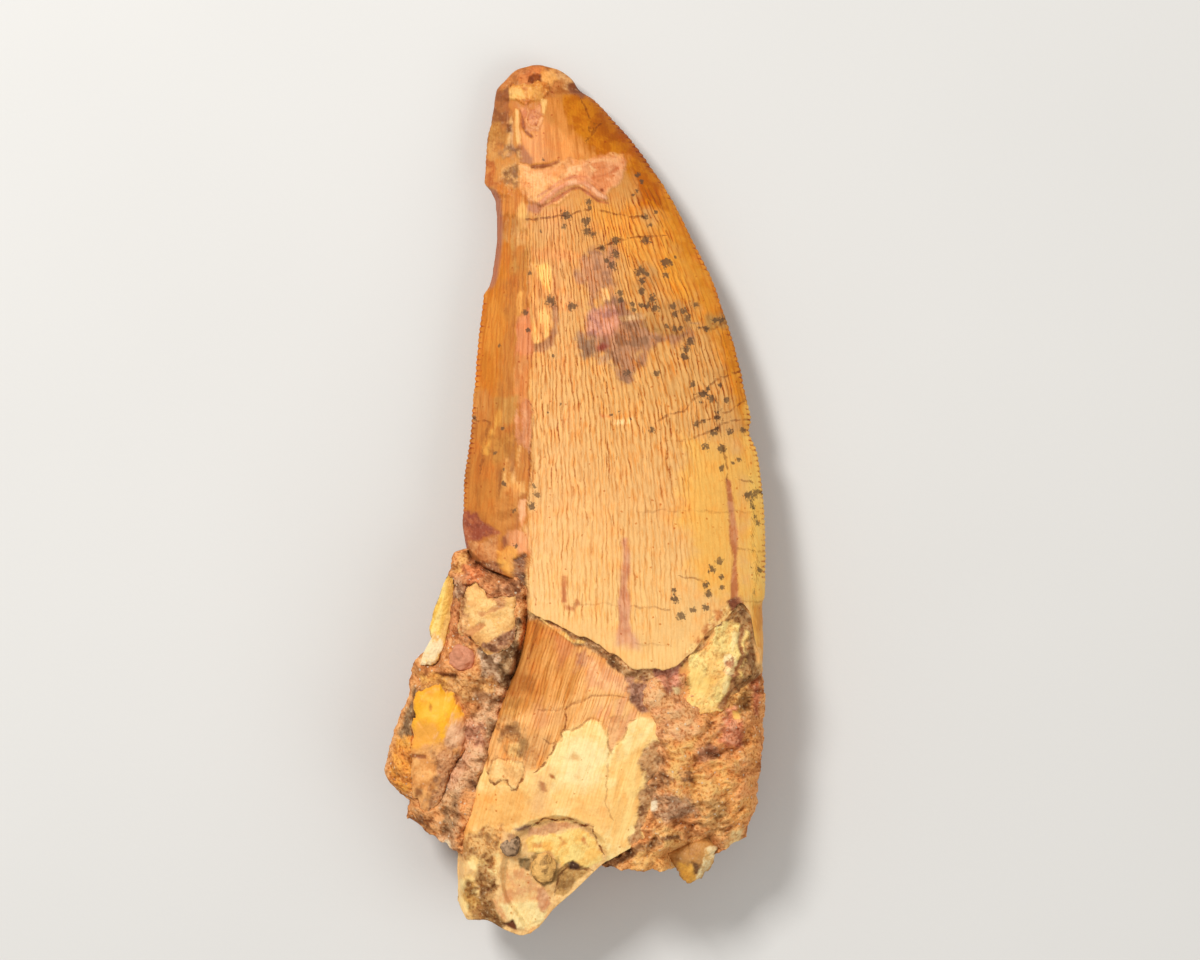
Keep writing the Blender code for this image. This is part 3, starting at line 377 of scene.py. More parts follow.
ROOT_PATCHES = (
    # striated dentine, rust brown at its upper left
    (((500, 596), (700, 596), (700, 690), (660, 716), (634, 719), (627, 725), (610, 740), (600, 722),
      (584, 723), (564, 730), (560, 740), (552, 754), (541, 770), (524, 776), (505, 760), (486, 765),
      (480, 700)), (244, 178, 108), (232, 160, 88), 2, 2, 3, -0.06),
    (((500, 610), (548, 614), (580, 640), (590, 672), (560, 700), (530, 716), (494, 716), (496, 660)),
     (230, 156, 82), (208, 132, 58), 7, 3, 6),
    (((517, 624), (524, 617), (536, 616), (545, 622), (547, 630), (544, 642), (538, 655), (513, 672)),
     (166, 92, 24), (202, 122, 46), 5, 3, 6),
    (((508, 650), (532, 652), (526, 690), (512, 716), (500, 716), (502, 680)), (176, 106, 44),
     (206, 134, 64), 6, 3, 6),
    (((547, 632), (572, 638), (580, 660), (560, 664)), (222, 140, 82), (206, 124, 66), 5, 3, 4),
    (((571, 650), (586, 650), (590, 664), (574, 668)), (186, 116, 78), (206, 138, 94), 4, 3, 3),
    (((586, 656), (626, 672), (640, 690), (620, 694), (586, 690)), (246, 182, 124), (234, 162, 108), 6, 3,
     3),
    (((519, 676), (532, 676), (530, 690), (520, 690)), (176, 102, 38), None, 4, 2, 4),
    (((505, 694), (520, 700), (522, 716), (500, 722)), (214, 150, 78), (186, 122, 56), 4, 3, 3, 0, 0.2),
    (((494, 722), (520, 720), (524, 744), (500, 746)), (204, 144, 84), (164, 112, 64), 8, 9, 0, 0, 0.6),
    (((534, 708), (556, 712), (546, 734), (530, 730)), (230, 156, 96), (238, 168, 108), 8, 5, 3),
    (((526, 736), (552, 734), (548, 752), (532, 764), (524, 756)), (228, 166, 102), (210, 146, 84), 3, 2,
     4),
    (((508, 743), (520, 744), (521, 755), (509, 757)), (240, 184, 112), None, 1.5, 1.5, 0, 0.1),
    (((520, 740), (527, 741), (527, 753), (521, 755)), (172, 122, 70), None, 3, 3),
    (((526, 752), (540, 752), (536, 768), (524, 770)), (214, 150, 88), (190, 122, 70), 2.5, 2, 0, 0, 0.4),
    # dark rough groove under the enamel
    (((516, 598), (532, 602), (545, 610), (552, 618), (562, 622), (570, 630), (604, 640), (614, 648),
      (636, 664), (652, 671), (668, 666), (684, 656), (704, 640), (716, 640), (688, 664), (668, 676),
      (650, 684), (636, 682), (614, 668), (598, 654), (578, 646), (562, 634), (540, 622), (516, 622)),
     (172, 122, 78), (220, 168, 114), 2.5, 3, 0, -0.05, 0.9),
    (((564, 628), (580, 638), (600, 648), (613, 657), (626, 672), (650, 672), (648, 678), (624, 677),
      (608, 662), (596, 652), (576, 644), (562, 634)), (136, 92, 54), (180, 130, 84), 2, 3, 0, -0.06, 0.9),
    # dark beside the chip's right edge: painted shade in the recess there
    (((516, 602), (526, 604), (528, 618), (516, 622)), (132, 84, 52), (176, 122, 78), 2, 2, 0, -0.1, 0.9),
    (((523, 606), (532, 607), (534, 616), (525, 616)), (222, 180, 116), (184, 138, 82), 1.5, 1.5, 0, 0.1,
     0.9),
    (((532, 601), (546, 610), (554, 620), (544, 618), (533, 609)), (182, 132, 66), (134, 88, 36), 1.5, 2, 0,
     0.05, 0.7),
    (((538, 614), (546, 621), (553, 626), (566, 633), (572, 639), (586, 641), (585, 644), (571, 642),
      (562, 636), (551, 629), (540, 619)), (246, 196, 116), (226, 160, 88), 1, 1, 0, 0.14, 0.3),
    (((626, 678), (648, 680), (660, 690), (656, 708), (642, 712), (630, 700)), (188, 134, 106),
     (148, 100, 76), 3, 3, 0, 0, 0.8),
    (((653, 668), (680, 664), (682, 680), (668, 692), (655, 684)), (190, 128, 104), (156, 100, 76), 2, 2, 0,
     0, 0.7),
    # granular brown strip between the pitted patch and the right edge
    (((724, 604), (740, 596), (752, 604), (757, 640), (756, 690), (748, 716), (732, 708), (738, 668),
      (746, 640)), (186, 136, 84), (140, 98, 60), 4, 4, 0, 0.1, 0.95),
    # smooth cream bone
    (SMOOTH_BONE, (255, 220, 148), (255, 206, 128), 1.4, 0.8, 0, 0.1),
    (((560, 740), (600, 730), (606, 770), (590, 800), (560, 796)), (255, 222, 156), None, 10, 6),
    (((470, 800), (540, 786), (560, 820), (520, 826), (470, 850)), (252, 192, 112), (246, 178, 98), 8, 6,
     3),
    (((617, 750), (622, 772), (619, 796), (626, 816)), (240, 178, 112), None, 2.5, 2, 2, -0.05, None, 1.4),
    (((584, 812), (604, 800), (616, 816), (604, 832)), (240, 176, 104), (252, 204, 130), 5, 5),
    (((572, 756), (580, 762), (578, 776)), (242, 186, 118), None, 3, 3, 0, -0.03, None, 1.6),
    (((592, 698), (612, 697), (626, 700), (640, 716), (627, 724), (616, 716), (600, 718), (588, 714)),
     (244, 182, 116), (236, 166, 112), 3, 2, 3),
    (((604, 724), (608, 716), (626, 716), (627, 724), (625, 733), (623, 739), (617, 743), (611, 752),
      (608, 746), (609, 735)), (240, 176, 116), (230, 160, 104), 1.5, 1, 1, -0.07, 0.2),
    (((455, 800), (480, 786), (520, 792), (520, 812), (490, 828), (455, 850)), (250, 186, 106),
     (244, 176, 96), 10, 4),
    (((528, 768), (550, 768), (552, 812), (534, 812)), (246, 186, 118), (252, 198, 126), 8, 5, 3),
    (((539, 781), (545, 782), (546, 791), (540, 791)), (196, 128, 78), None, 2.5, 3),
    (((549, 774), (555, 776), (556, 780), (551, 778)), (190, 116, 60), None, 1.2, 1),
    (((560, 790), (600, 790), (604, 822), (580, 822), (556, 812)), (253, 198, 120), None, 12, 5),
    (((612, 760), (646, 740), (648, 800), (630, 836), (612, 830)), (255, 208, 128), (250, 190, 110), 8, 3,
     5),
    (((646, 744), (664, 742), (668, 790), (650, 800), (640, 850), (632, 846), (640, 800)), (204, 150, 98),
     (160, 112, 72), 3, 4, 0, 0, 0.7),
    (FLAKE, (247, 198, 128), (240, 180, 110), 1, 0.5, 0, 0.16, 0.25),
    # broken lobe with its pebbles
    (((515, 828), (532, 824), (549, 820), (567, 821), (580, 824), (591, 828), (596, 838), (606, 856),
      (596, 880), (560, 905), (545, 960), (500, 960), (494, 880), (500, 850)), (252, 202, 134),
     (240, 184, 116), 1.5, 2, 0, 0, 0.25),
    (((456, 836), (482, 826), (500, 828), (502, 864), (494, 880), (476, 860), (456, 862)), (236, 178, 108),
     (190, 136, 80), 4, 5, 0, -0.04, 0.7),
    (((477, 856), (494, 858), (497, 884), (494, 900), (500, 918), (486, 922), (474, 900)), (196, 142, 84),
     (150, 104, 58), 4, 5, 0, -0.1, 0.9),
    (((456, 850), (459, 850), (461, 900), (472, 920), (466, 920), (456, 900)), (252, 206, 138), None, 1,
     0.5, 0, 0.1),
    (((460, 864), (470, 863), (477, 870), (475, 879), (466, 876), (460, 880)), (244, 190, 122), None, 3, 3,
     0, 0.1, 0.2),
    (((463, 880), (470, 877), (477, 884), (478, 902), (470, 912), (463, 900)), (156, 104, 50),
     (204, 148, 76), 3, 3, 0, -0.12, 0.7),
    (((471, 911), (490, 908), (504, 918), (500, 926), (474, 921)), (128, 86, 46), (170, 122, 70), 3, 3, 0,
     -0.12, 0.8),
    (((514, 829), (520, 826), (532, 823), (531, 828), (520, 832)), (150, 112, 88), (120, 88, 66), 1.5, 1.5,
     0, 0, 0.5),
    (((528, 826), (567, 822), (584, 828), (568, 829), (554, 834), (530, 838)), (234, 174, 118),
     (214, 152, 104), 2, 3, 0, 0, 0.3),
    (((528, 839), (537, 836), (555, 834), (568, 828), (584, 830), (594, 839), (600, 852), (600, 858),
      (593, 868), (580, 867), (577, 862), (571, 862), (565, 868), (555, 858), (551, 852), (540, 852),
      (529, 850)), (255, 216, 130), (250, 194, 104), 1.5, 3, 0, 0.06, 0.2),
    (((560, 838), (564, 842), (561, 846)), (220, 140, 70), None, 2, 1.5, 0, -0.04, None, 1.2),
    (((584, 840), (588, 846)), (214, 134, 72), None, 2, 1.5, 0, -0.04, None, 1.4),
    (((534, 846), (540, 845)), (222, 150, 78), None, 2, 1.5, 0, -0.03, None, 1.2),
    (((503, 833), (516, 834), (521, 844), (518, 856), (508, 858), (500, 848)), (240, 188, 126),
     (204, 150, 104), 1.5, 1, 0, 0, 0.3),
    (((519, 859), (526, 857), (532, 864), (530, 870), (522, 869)), (112, 86, 52), (156, 122, 78), 2, 3, 0,
     -0.15),
    (((532, 856), (548, 852), (558, 864), (556, 882), (544, 886), (532, 874)), (150, 112, 62), None, 3, 3,
     0, -0.05),
    (((494, 899), (501, 885), (508, 869), (524, 869), (534, 881), (542, 888), (544, 905), (554, 903),
      (547, 914), (540, 926), (529, 932), (516, 929), (506, 921), (497, 912)), (244, 192, 126),
     (232, 166, 108), 1.5, 2, 0, 0.06, 0.2),
    (((500, 905), (512, 900), (528, 902), (545, 906), (540, 924), (528, 931), (512, 926)), (255, 222, 154),
     None, 2, 2, 0, 0.03),
    (((536, 887), (545, 888), (548, 902), (543, 906), (541, 896)), (212, 146, 100), (236, 176, 126), 2, 3),
    (((556, 880), (562, 868), (572, 862), (586, 868), (590, 872), (572, 886), (564, 896), (556, 894)),
     (202, 152, 88), (162, 116, 64), 1.5, 2, 0, -0.12, 0.4),
    (((569, 863), (573, 861), (579, 864), (580, 869), (570, 869)), (88, 58, 42), None, 1.2, 1, 0, -0.15),
    (((505, 924), (513, 919), (516, 929)), (110, 60, 34), None, 1.2, 1, 0, -0.3),
    # pitted cream patch at the right
    (((683, 662), (692, 650), (703, 646), (712, 632), (710, 626), (722, 616), (738, 624), (747, 636),
      (745, 652), (738, 666), (733, 682), (726, 700), (720, 709), (712, 718), (702, 715), (692, 703),
      (687, 688), (683, 676)), (255, 218, 134), (250, 196, 114), 1.5, 4, 0, 0.34, 0.55),
    (((742, 628), (739, 644), (743, 655), (736, 668), (732, 688), (722, 706)), (156, 100, 58),
     (196, 140, 88), 1.5, 2, 0, -0.2, 0.6, 1.8),
    # a pale line inside the right edge: painted highlight along the raised rim
    (((736, 634), (733, 650), (735, 660), (728, 674), (724, 692)), (255, 222, 150), None, 1.5, 2, 0, 0.12,
     0.3, 1.6),
    (((698, 648), (708, 636), (718, 622), (732, 618)), (150, 96, 56), (206, 150, 96), 1.5, 3, 0, -0.15, 0.6,
     1.6),
    (((684, 664), (700, 668), (712, 680), (706, 696), (690, 690)), (254, 208, 120), None, 4, 2, 0, 0.05,
     0.15),
    (((724, 654), (732, 654), (732, 675), (726, 674)), (190, 128, 88), (252, 220, 160), 1.5, 2.5, 0, -0.06,
     0.7),
    (((712, 619), (724, 620), (723, 627), (712, 628)), (112, 66, 42), (158, 104, 66), 1.5, 2, 0, -0.15,
     0.7),
    (((703, 634), (710, 636), (706, 642), (702, 640)), (122, 76, 48), None, 1.5, 1.5, 0, -0.1),
)

MATRIX_BASE = ((222, 160, 102), (180, 120, 72))
MATRIX_PATCHES = (
    # left: above and round the chip
    (((420, 540), (522, 540), (524, 600), (480, 600), (462, 650), (425, 640)), (176, 118, 76),
     (140, 88, 56), 4, 4),
    (((446, 555), (466, 555), (466, 573), (448, 576)), (206, 152, 90), (168, 116, 66), 3, 3),
    (((464, 566), (483, 566), (482, 586), (464, 588)), (194, 118, 74), (164, 96, 60), 3, 3),
    (((453, 577), (466, 576), (464, 600), (452, 600)), (136, 98, 74), (190, 152, 120), 4, 4),
    # dark beside the chip's right edge: painted shade in the recess there
    (((497, 584), (524, 578), (522, 602), (500, 604)), (126, 82, 56), (178, 124, 86), 3, 3),
    (((446, 600), (462, 598), (460, 646), (444, 648)), (164, 104, 64), (206, 148, 98), 3, 3),
    # round the nodule
    (((424, 652), (452, 650), (456, 672), (430, 680), (414, 676)), (188, 126, 76), (152, 98, 58), 3, 3),
    (((433, 673), (456, 672), (458, 678), (436, 679)), (96, 54, 26), None, 1.5, 1.5, 0, -0.3),
    (((478, 650), (512, 640), (513, 690), (494, 694), (480, 680)), (186, 154, 126), (122, 94, 72), 3, 3),
    (((500, 640), (518, 620), (518, 660), (508, 700), (500, 690)), (104, 76, 50), (150, 116, 82), 3, 3, 0,
     -0.1),
    (((418, 674), (448, 678), (452, 690), (420, 690)), (204, 152, 82), (164, 112, 60), 3, 3),
    (((448, 680), (492, 678), (496, 700), (470, 706), (452, 694)), (160, 112, 66), (196, 146, 92), 4, 4),
    # diagonal band towards the lobe
    (((476, 696), (512, 690), (500, 730), (484, 770), (462, 800), (456, 850), (430, 846), (436, 800),
      (456, 760), (470, 736)), (164, 122, 88), (212, 164, 124), 4, 4),
    (((456, 718), (486, 722), (486, 744), (466, 752), (452, 738)), (214, 160, 122), (158, 108, 84), 3, 3,
     3),
    (((440, 750), (462, 740), (474, 756), (452, 790), (436, 800), (430, 780)), (206, 154, 118),
     (150, 106, 78), 3, 3),
    (((486, 700), (512, 694), (504, 730), (486, 752)), (140, 104, 74), (190, 142, 104), 3, 3),
    (((466, 780), (480, 776), (482, 792), (466, 794)), (112, 78, 58), (152, 108, 78), 3, 3, 0, -0.15),
    (((437, 790), (457, 792), (458, 830), (440, 834)), (136, 102, 72), (180, 136, 96), 4, 4),
    (((439, 783), (446, 783), (447, 790), (440, 790)), (255, 228, 196), None, 1.2, 1.2, 0, 0.15, 0.1),
    (((443, 838), (451, 838), (451, 847), (444, 847)), (250, 222, 186), None, 1.5, 1.5, 0, 0.1, 0.2),
    (((412, 800), (440, 806), (440, 842), (424, 840), (408, 820)), (206, 146, 92), (156, 106, 66), 4, 4),
    # outer slope and yellow crust at the left
    (((380, 760), (398, 690), (415, 660), (419, 690), (412, 742), (400, 745)), (134, 104, 74),
     (104, 78, 54), 3, 3),
    (((380, 742), (394, 742), (411, 740), (412, 788), (398, 790), (380, 780)), (240, 166, 76),
     (172, 108, 50), 3, 4, 0, 0.1),
    (((416, 644), (434, 634), (444, 642), (430, 656), (418, 664)), (252, 228, 180), (226, 172, 106), 1.5,
     1.5, 0, 0.1, 0.4),
    # right: between the groove and the pitted patch
    (((640, 660), (690, 664), (700, 730), (672, 750), (650, 745), (636, 700)), (236, 180, 126),
     (200, 142, 98), 5, 4),
    (((652, 664), (684, 662), (684, 684), (668, 694)), (190, 128, 104), (152, 98, 74), 3, 3),
    (((674, 688), (681, 688), (681, 696), (675, 696)), (252, 220, 166), None, 1.5, 1.5, 0, 0.1, 0.3),
    (((700, 712), (720, 712), (716, 742), (700, 742)), (222, 160, 100), (176, 118, 72), 4, 3),
    # right border
    (((728, 600), (754, 600), (756, 660), (746, 720), (722, 716), (742, 660)), (164, 118, 74),
     (126, 86, 54), 3, 3),
    (((737, 664), (755, 660), (752, 712), (730, 712)), (188, 140, 82), (150, 106, 60), 3, 3),
    (((752, 676), (775, 660), (775, 724), (752, 720)), (176, 104, 70), (146, 82, 56), 4, 4),
    (((722, 716), (734, 712), (748, 726), (744, 748), (726, 750), (718, 740)), (166, 94, 66),
     (210, 142, 108), 4, 4, 3),
    (((734, 712), (740, 713), (739, 719), (734, 719)), (250, 196, 106), None, 1.5, 1, 0, 0.1, 0.2),
    (((695, 748), (712, 744), (720, 752), (712, 766), (697, 764)), (122, 78, 54), (166, 112, 80), 2.5, 3, 0,
     -0.12),
    (((744, 720), (775, 716), (775, 800), (748, 790)), (224, 160, 96), (190, 128, 76), 4, 4),
    # cream granular ground in the middle
    (((664, 742), (694, 740), (696, 764), (740, 756), (742, 790), (718, 808), (676, 806), (666, 780)),
     (252, 194, 118), (226, 158, 94), 4, 4, 0, 0.1),
    (((646, 745), (667, 744), (668, 780), (660, 796), (646, 796)), (176, 126, 84), (136, 96, 64), 4, 4, 0,
     -0.05),
    (((679, 772), (694, 772), (693, 782), (682, 781)), (120, 80, 50), (190, 136, 84), 2, 2),
    # dark patch, groove and lower edge
    (((655, 798), (672, 796), (690, 802), (706, 812), (704, 820), (680, 818), (664, 826), (654, 812)),
     (136, 100, 74), (182, 136, 100), 4, 4, 0, -0.12),
    (((650, 802), (656, 802), (656, 810), (651, 811)), (255, 232, 200), None, 1.2, 1, 0, 0.1, 0.2),
    (((697, 806), (728, 800), (732, 836), (712, 842), (696, 826)), (190, 142, 88), (150, 110, 66), 5, 5),
    (((728, 800), (756, 796), (750, 832), (732, 838)), (234, 172, 102), (200, 140, 82), 4, 4),
    (((652, 824), (694, 826), (706, 842), (676, 842), (650, 846)), (238, 182, 114), (196, 140, 88), 4, 4),
    (((600, 862), (630, 848), (650, 840), (680, 833), (680, 840), (652, 850), (632, 860), (606, 872)),
     (104, 68, 40), (150, 106, 66), 2, 2, 0, -0.25),
    (((630, 862), (652, 850), (690, 842), (716, 846), (716, 870), (650, 880), (620, 876)), (236, 182, 112),
     (196, 142, 82), 4, 4),
    (((732, 830), (748, 826), (748, 842), (736, 848), (724, 848)), (250, 214, 154), (214, 160, 100), 2, 2,
     0, 0.05, 0.6),
)

# Dark mineral spots on the crown: place on the plan and radius
SPOTS = (
    (640, 271, 4.2), (646, 274, 3), (642, 281, 3.6), (641, 291, 3.6), (652, 299, 4), (655, 308, 4),
    (647, 305, 3.2), (640, 305, 2.6), (673, 306, 3.2), (675, 314, 3), (684, 311, 3.2), (688, 318, 3.6),
    (620, 293, 3.2), (621, 300, 2.8), (632, 304, 2.6), (634, 310, 2.4), (667, 327, 2.8), (674, 329, 3),
    (680, 328, 2.6), (715, 320, 3), (722, 320, 3.2), (752, 494, 3), (761, 493, 3), (566, 215, 4.5),
    (589, 202, 3), (590, 208, 2.5), (586, 221, 4), (588, 231, 4.5), (593, 234, 3), (564, 226, 2.5),
    (616, 241, 4), (602, 248, 3), (615, 254, 4), (612, 266, 4), (607, 260, 3), (646, 240, 4.5),
    (650, 225, 2.5), (645, 217, 3), (666, 263, 5), (666, 275, 3), (675, 257, 1.8), (671, 263, 3),
    (696, 305, 3), (706, 329, 3), (700, 328, 2), (690, 342, 4), (686, 349, 4), (684, 357, 4),
    (656, 373, 3.3), (628, 373, 3.5), (693, 384, 3.3), (708, 389, 2.4), (720, 385, 2.4), (703, 394, 3.6),
    (711, 398, 3.6), (727, 400, 3), (701, 402, 2), (697, 424, 3), (704, 421, 2), (717, 418, 3),
    (717, 412, 2), (713, 433, 3.6), (717, 429, 2.4), (730, 432, 3.2), (743, 430, 2.8), (706, 447, 3.6),
    (722, 449, 4), (739, 460, 2.2), (733, 463, 1.8), (722, 468, 3), (747, 495, 3.4), (755, 493, 4),
    (751, 499, 3.4), (753, 507, 2.2), (755, 516, 2.2), (758, 523, 2.6), (720, 561, 3.6), (712, 569, 3.6),
    (722, 577, 3), (722, 588, 2.5), (706, 585, 3.2), (708, 594, 3.6), (706, 608, 3.6), (674, 590, 2.2),
    (675, 599, 4), (681, 616, 4), (693, 610, 3.2), (760, 570, 2.6), (754, 591, 1.6), (652, 430, 3),
    (619, 412, 2.2), (611, 415, 1.8), (630, 419, 1.8), (541, 231, 1.8), (553, 356, 1.8), (551, 301, 4.5),
    (572, 306, 4), (530, 273, 2), (525, 312, 3), (528, 330, 2.2), (503, 428, 2.2), (495, 453, 2.2),
    (504, 484, 2.4), (504, 470, 1.6), (537, 495, 3.4), (532, 506, 4), (534, 486, 2.2), (514, 511, 2.6),
    (516, 546, 2.2), (638, 175, 2.4), (642, 181, 2.2), (637, 191, 2), (633, 195, 1.8), (474, 418, 2.6),
    (499, 345, 1.8), (656, 212, 1.8), (543, 160, 1.5), (561, 404, 1.6), (548, 413, 1.4),
)
# Fine cracks: how dark each is, and its line on the plan
CROWN_CRACKS = (
    (0.7, ((527, 219), (545, 219), (556, 215), (572, 215), (584, 210), (604, 210), (617, 215), (631, 217),
           (643, 218))),
    (0.8, ((598, 249), (615, 242), (628, 239), (644, 237), (663, 235))),
    (0.6, ((741, 371), (723, 377), (712, 384), (699, 394))),
    (0.6, ((747, 401), (726, 413), (706, 420), (697, 424))),
    (0.55, ((750, 420), (735, 421), (720, 425), (703, 434), (689, 441), (670, 441))),
    (0.55, ((659, 421), (673, 413), (686, 410), (695, 399), (705, 393))),
    (0.5, ((738, 478), (744, 480), (751, 483))),
    (0.6, ((716, 399), (720, 425), (725, 455), (728, 469), (728, 480))),
    (0.25, ((641, 512), (682, 510), (725, 512), (760, 511))),
    (0.3, ((738, 549), (764, 551))),
    (0.5, ((682, 576), (692, 579), (703, 582))),
    (0.4, ((634, 607), (653, 608), (669, 610))),
    (0.2, ((575, 604), (600, 604), (618, 606))),
    (0.35, ((745, 601), (764, 602))),
    (0.55, ((582, 101), (589, 116), (591, 134), (588, 139))),
    (0.45, ((600, 125), (591, 134))),
    (0.4, ((743, 318), (727, 322), (712, 329), (702, 327))),
    (0.5, ((471, 423), (483, 421), (491, 422), (489, 432))),
    (0.2, ((631, 645), (650, 644), (671, 647))),
    (0.5, ((531, 404), (534, 420), (530, 445), (530, 470), (529, 500))),
    (0.4, ((489, 423), (484, 450), (480, 475))),
)
ROOT_CRACKS = (
    (0.45, ((623, 697), (612, 695), (602, 695), (591, 696), (587, 698), (579, 701), (571, 704), (568, 707),
            (556, 710), (542, 709))),
    (0.8, ((568, 707), (566, 718), (564, 730), (560, 733), (561, 739), (556, 743), (552, 752), (547, 760),
           (543, 766), (536, 770))),
    (0.5, ((564, 730), (572, 731), (579, 729), (584, 723), (591, 719), (598, 721))),
    (0.85, ((488, 771), (490, 781), (495, 785), (500, 782), (508, 782), (512, 791), (516, 791),
            (521, 779))),
    (0.4, ((524, 770), (523, 762), (511, 760), (499, 758), (493, 761), (488, 771))),
    (0.5, ((608, 737), (608, 746), (611, 751), (617, 742), (623, 739), (625, 733), (627, 725), (634, 719))),
    (0.35, ((609, 752), (607, 775), (606, 800), (611, 818))),
    # along the top of the broken lobe: the break's line, darkened fully as painted shadow cast by the step
    (1.0, ((532, 824), (541, 820), (550, 819), (568, 820), (580, 824), (592, 827), (596, 836), (601, 847),
           (603, 851))),
    (0.5, ((545, 742), (549, 745), (555, 743))),
    (0.7, ((556, 892), (558, 876), (568, 868), (580, 869), (590, 871))),
)
# Where the enamel is finely wrinkled
WRINKLED = (
    (530, 212), (600, 205), (655, 190), (674, 254), (697, 304), (727, 351), (742, 391), (700, 440),
    (690, 500), (690, 580), (650, 630), (600, 628), (520, 596), (528, 470), (530, 360), (526, 260),
)
WRINKLES_GROW, WRINKLES_FADE = (120, 215), (400, 540)  # between these plan heights
# How far the enamel's grooves have drifted across, down the plan: (plan height, drift), and
# from where on the plan, over which width, the drift sets in
LEAN = ((60, -124), (200, -72), (300, -36), (400, -13), (500, -3), (620, 0))
LEAN_START, LEAN_WIDTH = 520, 110
# Pairs of colours that are mottled together, and the bare rim of a chipped edge
ROOT_BACK = ((238, 184, 118), (176, 118, 70))
BROKEN_BONE = ((240, 190, 126), (168, 116, 70))
CHIPPED_EDGE = (176, 110, 78)

# Fragments in the sandstone: outline in (X, Y), height of the face, its tilt along X and Y,
# thickness, how far the face bulges, and its colour
SHARDS_SEEN = {
    "bone_slab": (
        ((-16.0, -19.2), (-14.0, -18.4), (-12.0, -19.6), (-10.9, -22.2), (-11.1, -24.8),
         (-12.5, -27.5), (-13.6, -30.4), (-15.2, -31.6), (-16.3, -29.6), (-16.4, -24.2)),
        10.3, (0.12, 0.03), 3.6, 0.7, (236, 166, 96),
    ),
    "edge_sliver": (
        ((-12.7, -7.2), (-12.1, -8.4), (-12.3, -11.2), (-13.0, -14.4), (-13.9, -16.4),
         (-15.6, -16.6), (-15.2, -15.2), (-14.4, -14.0), (-14.6, -12.6), (-13.9, -10.2)),
        9.2, (0.15, 0.0), 3.4, 0.3, (248, 194, 92),
    ),
    "enamel_chip": (
        ((-10.0, -8.2), (-8.7, -9.7), (-5.9, -9.5), (-5.9, -13.3), (-6.9, -14.8), (-8.5, -15.5),
         (-10.1, -14.4), (-11.8, -12.6), (-11.5, -10.2), (-10.9, -8.5)),
        11.4, (0.1, 0.0), 1.9, 0.35, (250, 194, 118),
    ),
    "base_shard": (
        ((9.2, -35.3), (11.0, -34.3), (13.2, -33.8), (14.2, -34.8), (13.6, -36.3), (12.1, -38.1),
         (11.2, -38.3), (9.9, -36.8)),
        9.6, (-0.1, 0.15), 4.4, 0.8, (206, 146, 78),
    ),
}
FRAGMENT_PATCHES = (
    # yellow to orange slab
    (((408, 676), (446, 678), (458, 700), (472, 712), (458, 724), (447, 738), (428, 745), (408, 750)),
     (252, 180, 40), (246, 164, 40), 3, 3, 0, 0, 0.05),
    # a paler spot on the slab: painted highlight
    (((422, 692), (440, 692), (450, 704), (438, 722), (424, 716)), (254, 192, 62), None, 6, 4),
    (((408, 728), (434, 724), (440, 744), (410, 752)), (246, 170, 68), None, 6, 5),
    (((408, 752), (436, 746), (452, 760), (448, 800), (408, 800)), (246, 178, 104), (230, 154, 82), 5, 5, 3,
     0, 0.3),
    (((452, 716), (486, 712), (486, 752), (462, 760), (446, 742)), (214, 150, 106), (244, 190, 142), 6, 5,
     6, 0.05, 0.3),
    (((436, 752), (462, 744), (470, 770), (440, 812), (426, 812)), (214, 152, 100), (172, 120, 80), 6, 5, 4,
     0, 0.7),
    (((411, 754), (426, 755), (426, 758), (411, 757)), (170, 100, 52), None, 1, 1, 0, -0.1),
    (((429, 700), (433, 704), (432, 712), (429, 709)), (214, 130, 40), None, 1.5, 1.5, 0, -0.08),
    (((416, 788), (424, 788), (424, 796), (416, 796)), (160, 100, 54), None, 2, 2, 0, -0.1),
    # splinter with a pale outer rim
    (((420, 560), (452, 560), (446, 600), (440, 640), (424, 652)), (255, 220, 128), (255, 202, 90), 3, 2,
     4),
    (((448, 570), (462, 570), (456, 620), (446, 660), (438, 646), (444, 610)), (240, 176, 84),
     (252, 200, 112), 3, 2, 3, 0, 0.3),
    (((412, 640), (436, 628), (444, 650), (424, 668), (412, 672)), (255, 228, 176), (252, 196, 116), 3, 3,
     3, 0.1, 0.2),
    # cream chip
    (((455, 580), (520, 585), (520, 655), (455, 655)), (251, 196, 120), (240, 176, 102), 3, 3, 0, 0, 0.3),
    (((480, 604), (512, 596), (514, 626), (488, 640), (474, 626)), (253, 206, 134), (247, 190, 112), 5, 4),
    (((478, 612), (494, 608), (504, 599), (506, 602), (496, 612), (482, 617)), (226, 160, 98), None, 1.5, 2,
     0, -0.08),
    (((466, 632), (476, 626), (485, 622), (486, 626), (476, 632), (468, 637)), (222, 152, 92), None, 1.5, 2,
     0, -0.1),
    (((492, 578), (520, 578), (514, 592), (500, 602), (490, 594)), (190, 124, 76), (222, 158, 104), 3, 4, 0,
     -0.12, 0.6),
    (((456, 600), (464, 596), (464, 640), (458, 640)), (206, 144, 88), (234, 176, 112), 2, 3, 0, 0, 0.7),
    (((484, 646), (518, 626), (520, 640), (500, 656)), (214, 156, 108), (170, 118, 84), 2, 3, 0, 0, 0.8),
    # pointed shard at the lower right end
    (((678, 862), (702, 864), (706, 872), (692, 886), (684, 884)), (244, 180, 76), (228, 160, 62), 2, 2, 0,
     0, 0.2),
    (((692, 861), (704, 862), (704, 875), (694, 874)), (128, 84, 44), (172, 120, 66), 2, 2, 0, -0.1, 0.6),
    (((704, 846), (724, 842), (712, 872), (698, 886), (696, 880)), (250, 222, 164), (226, 176, 104), 1.5,
     1.5, 0, 0.05, 0.3),
)
FRAGMENT_GRIT = 0.3
# Stones: centre, radii, and how irregular
STONES = {
    "olive_pebble": ((-3.2, -36.7, 10.85), (1.25, 1.6, 1.15), 0.12),
    "grey_pebble": ((-6.6, -34.4, 11.5), (1.05, 1.2, 0.9), 0.12),
    "pink_nodule": ((-11.1, -15.9, 10.1), (1.5, 1.35, 1.3), 0.24),
}
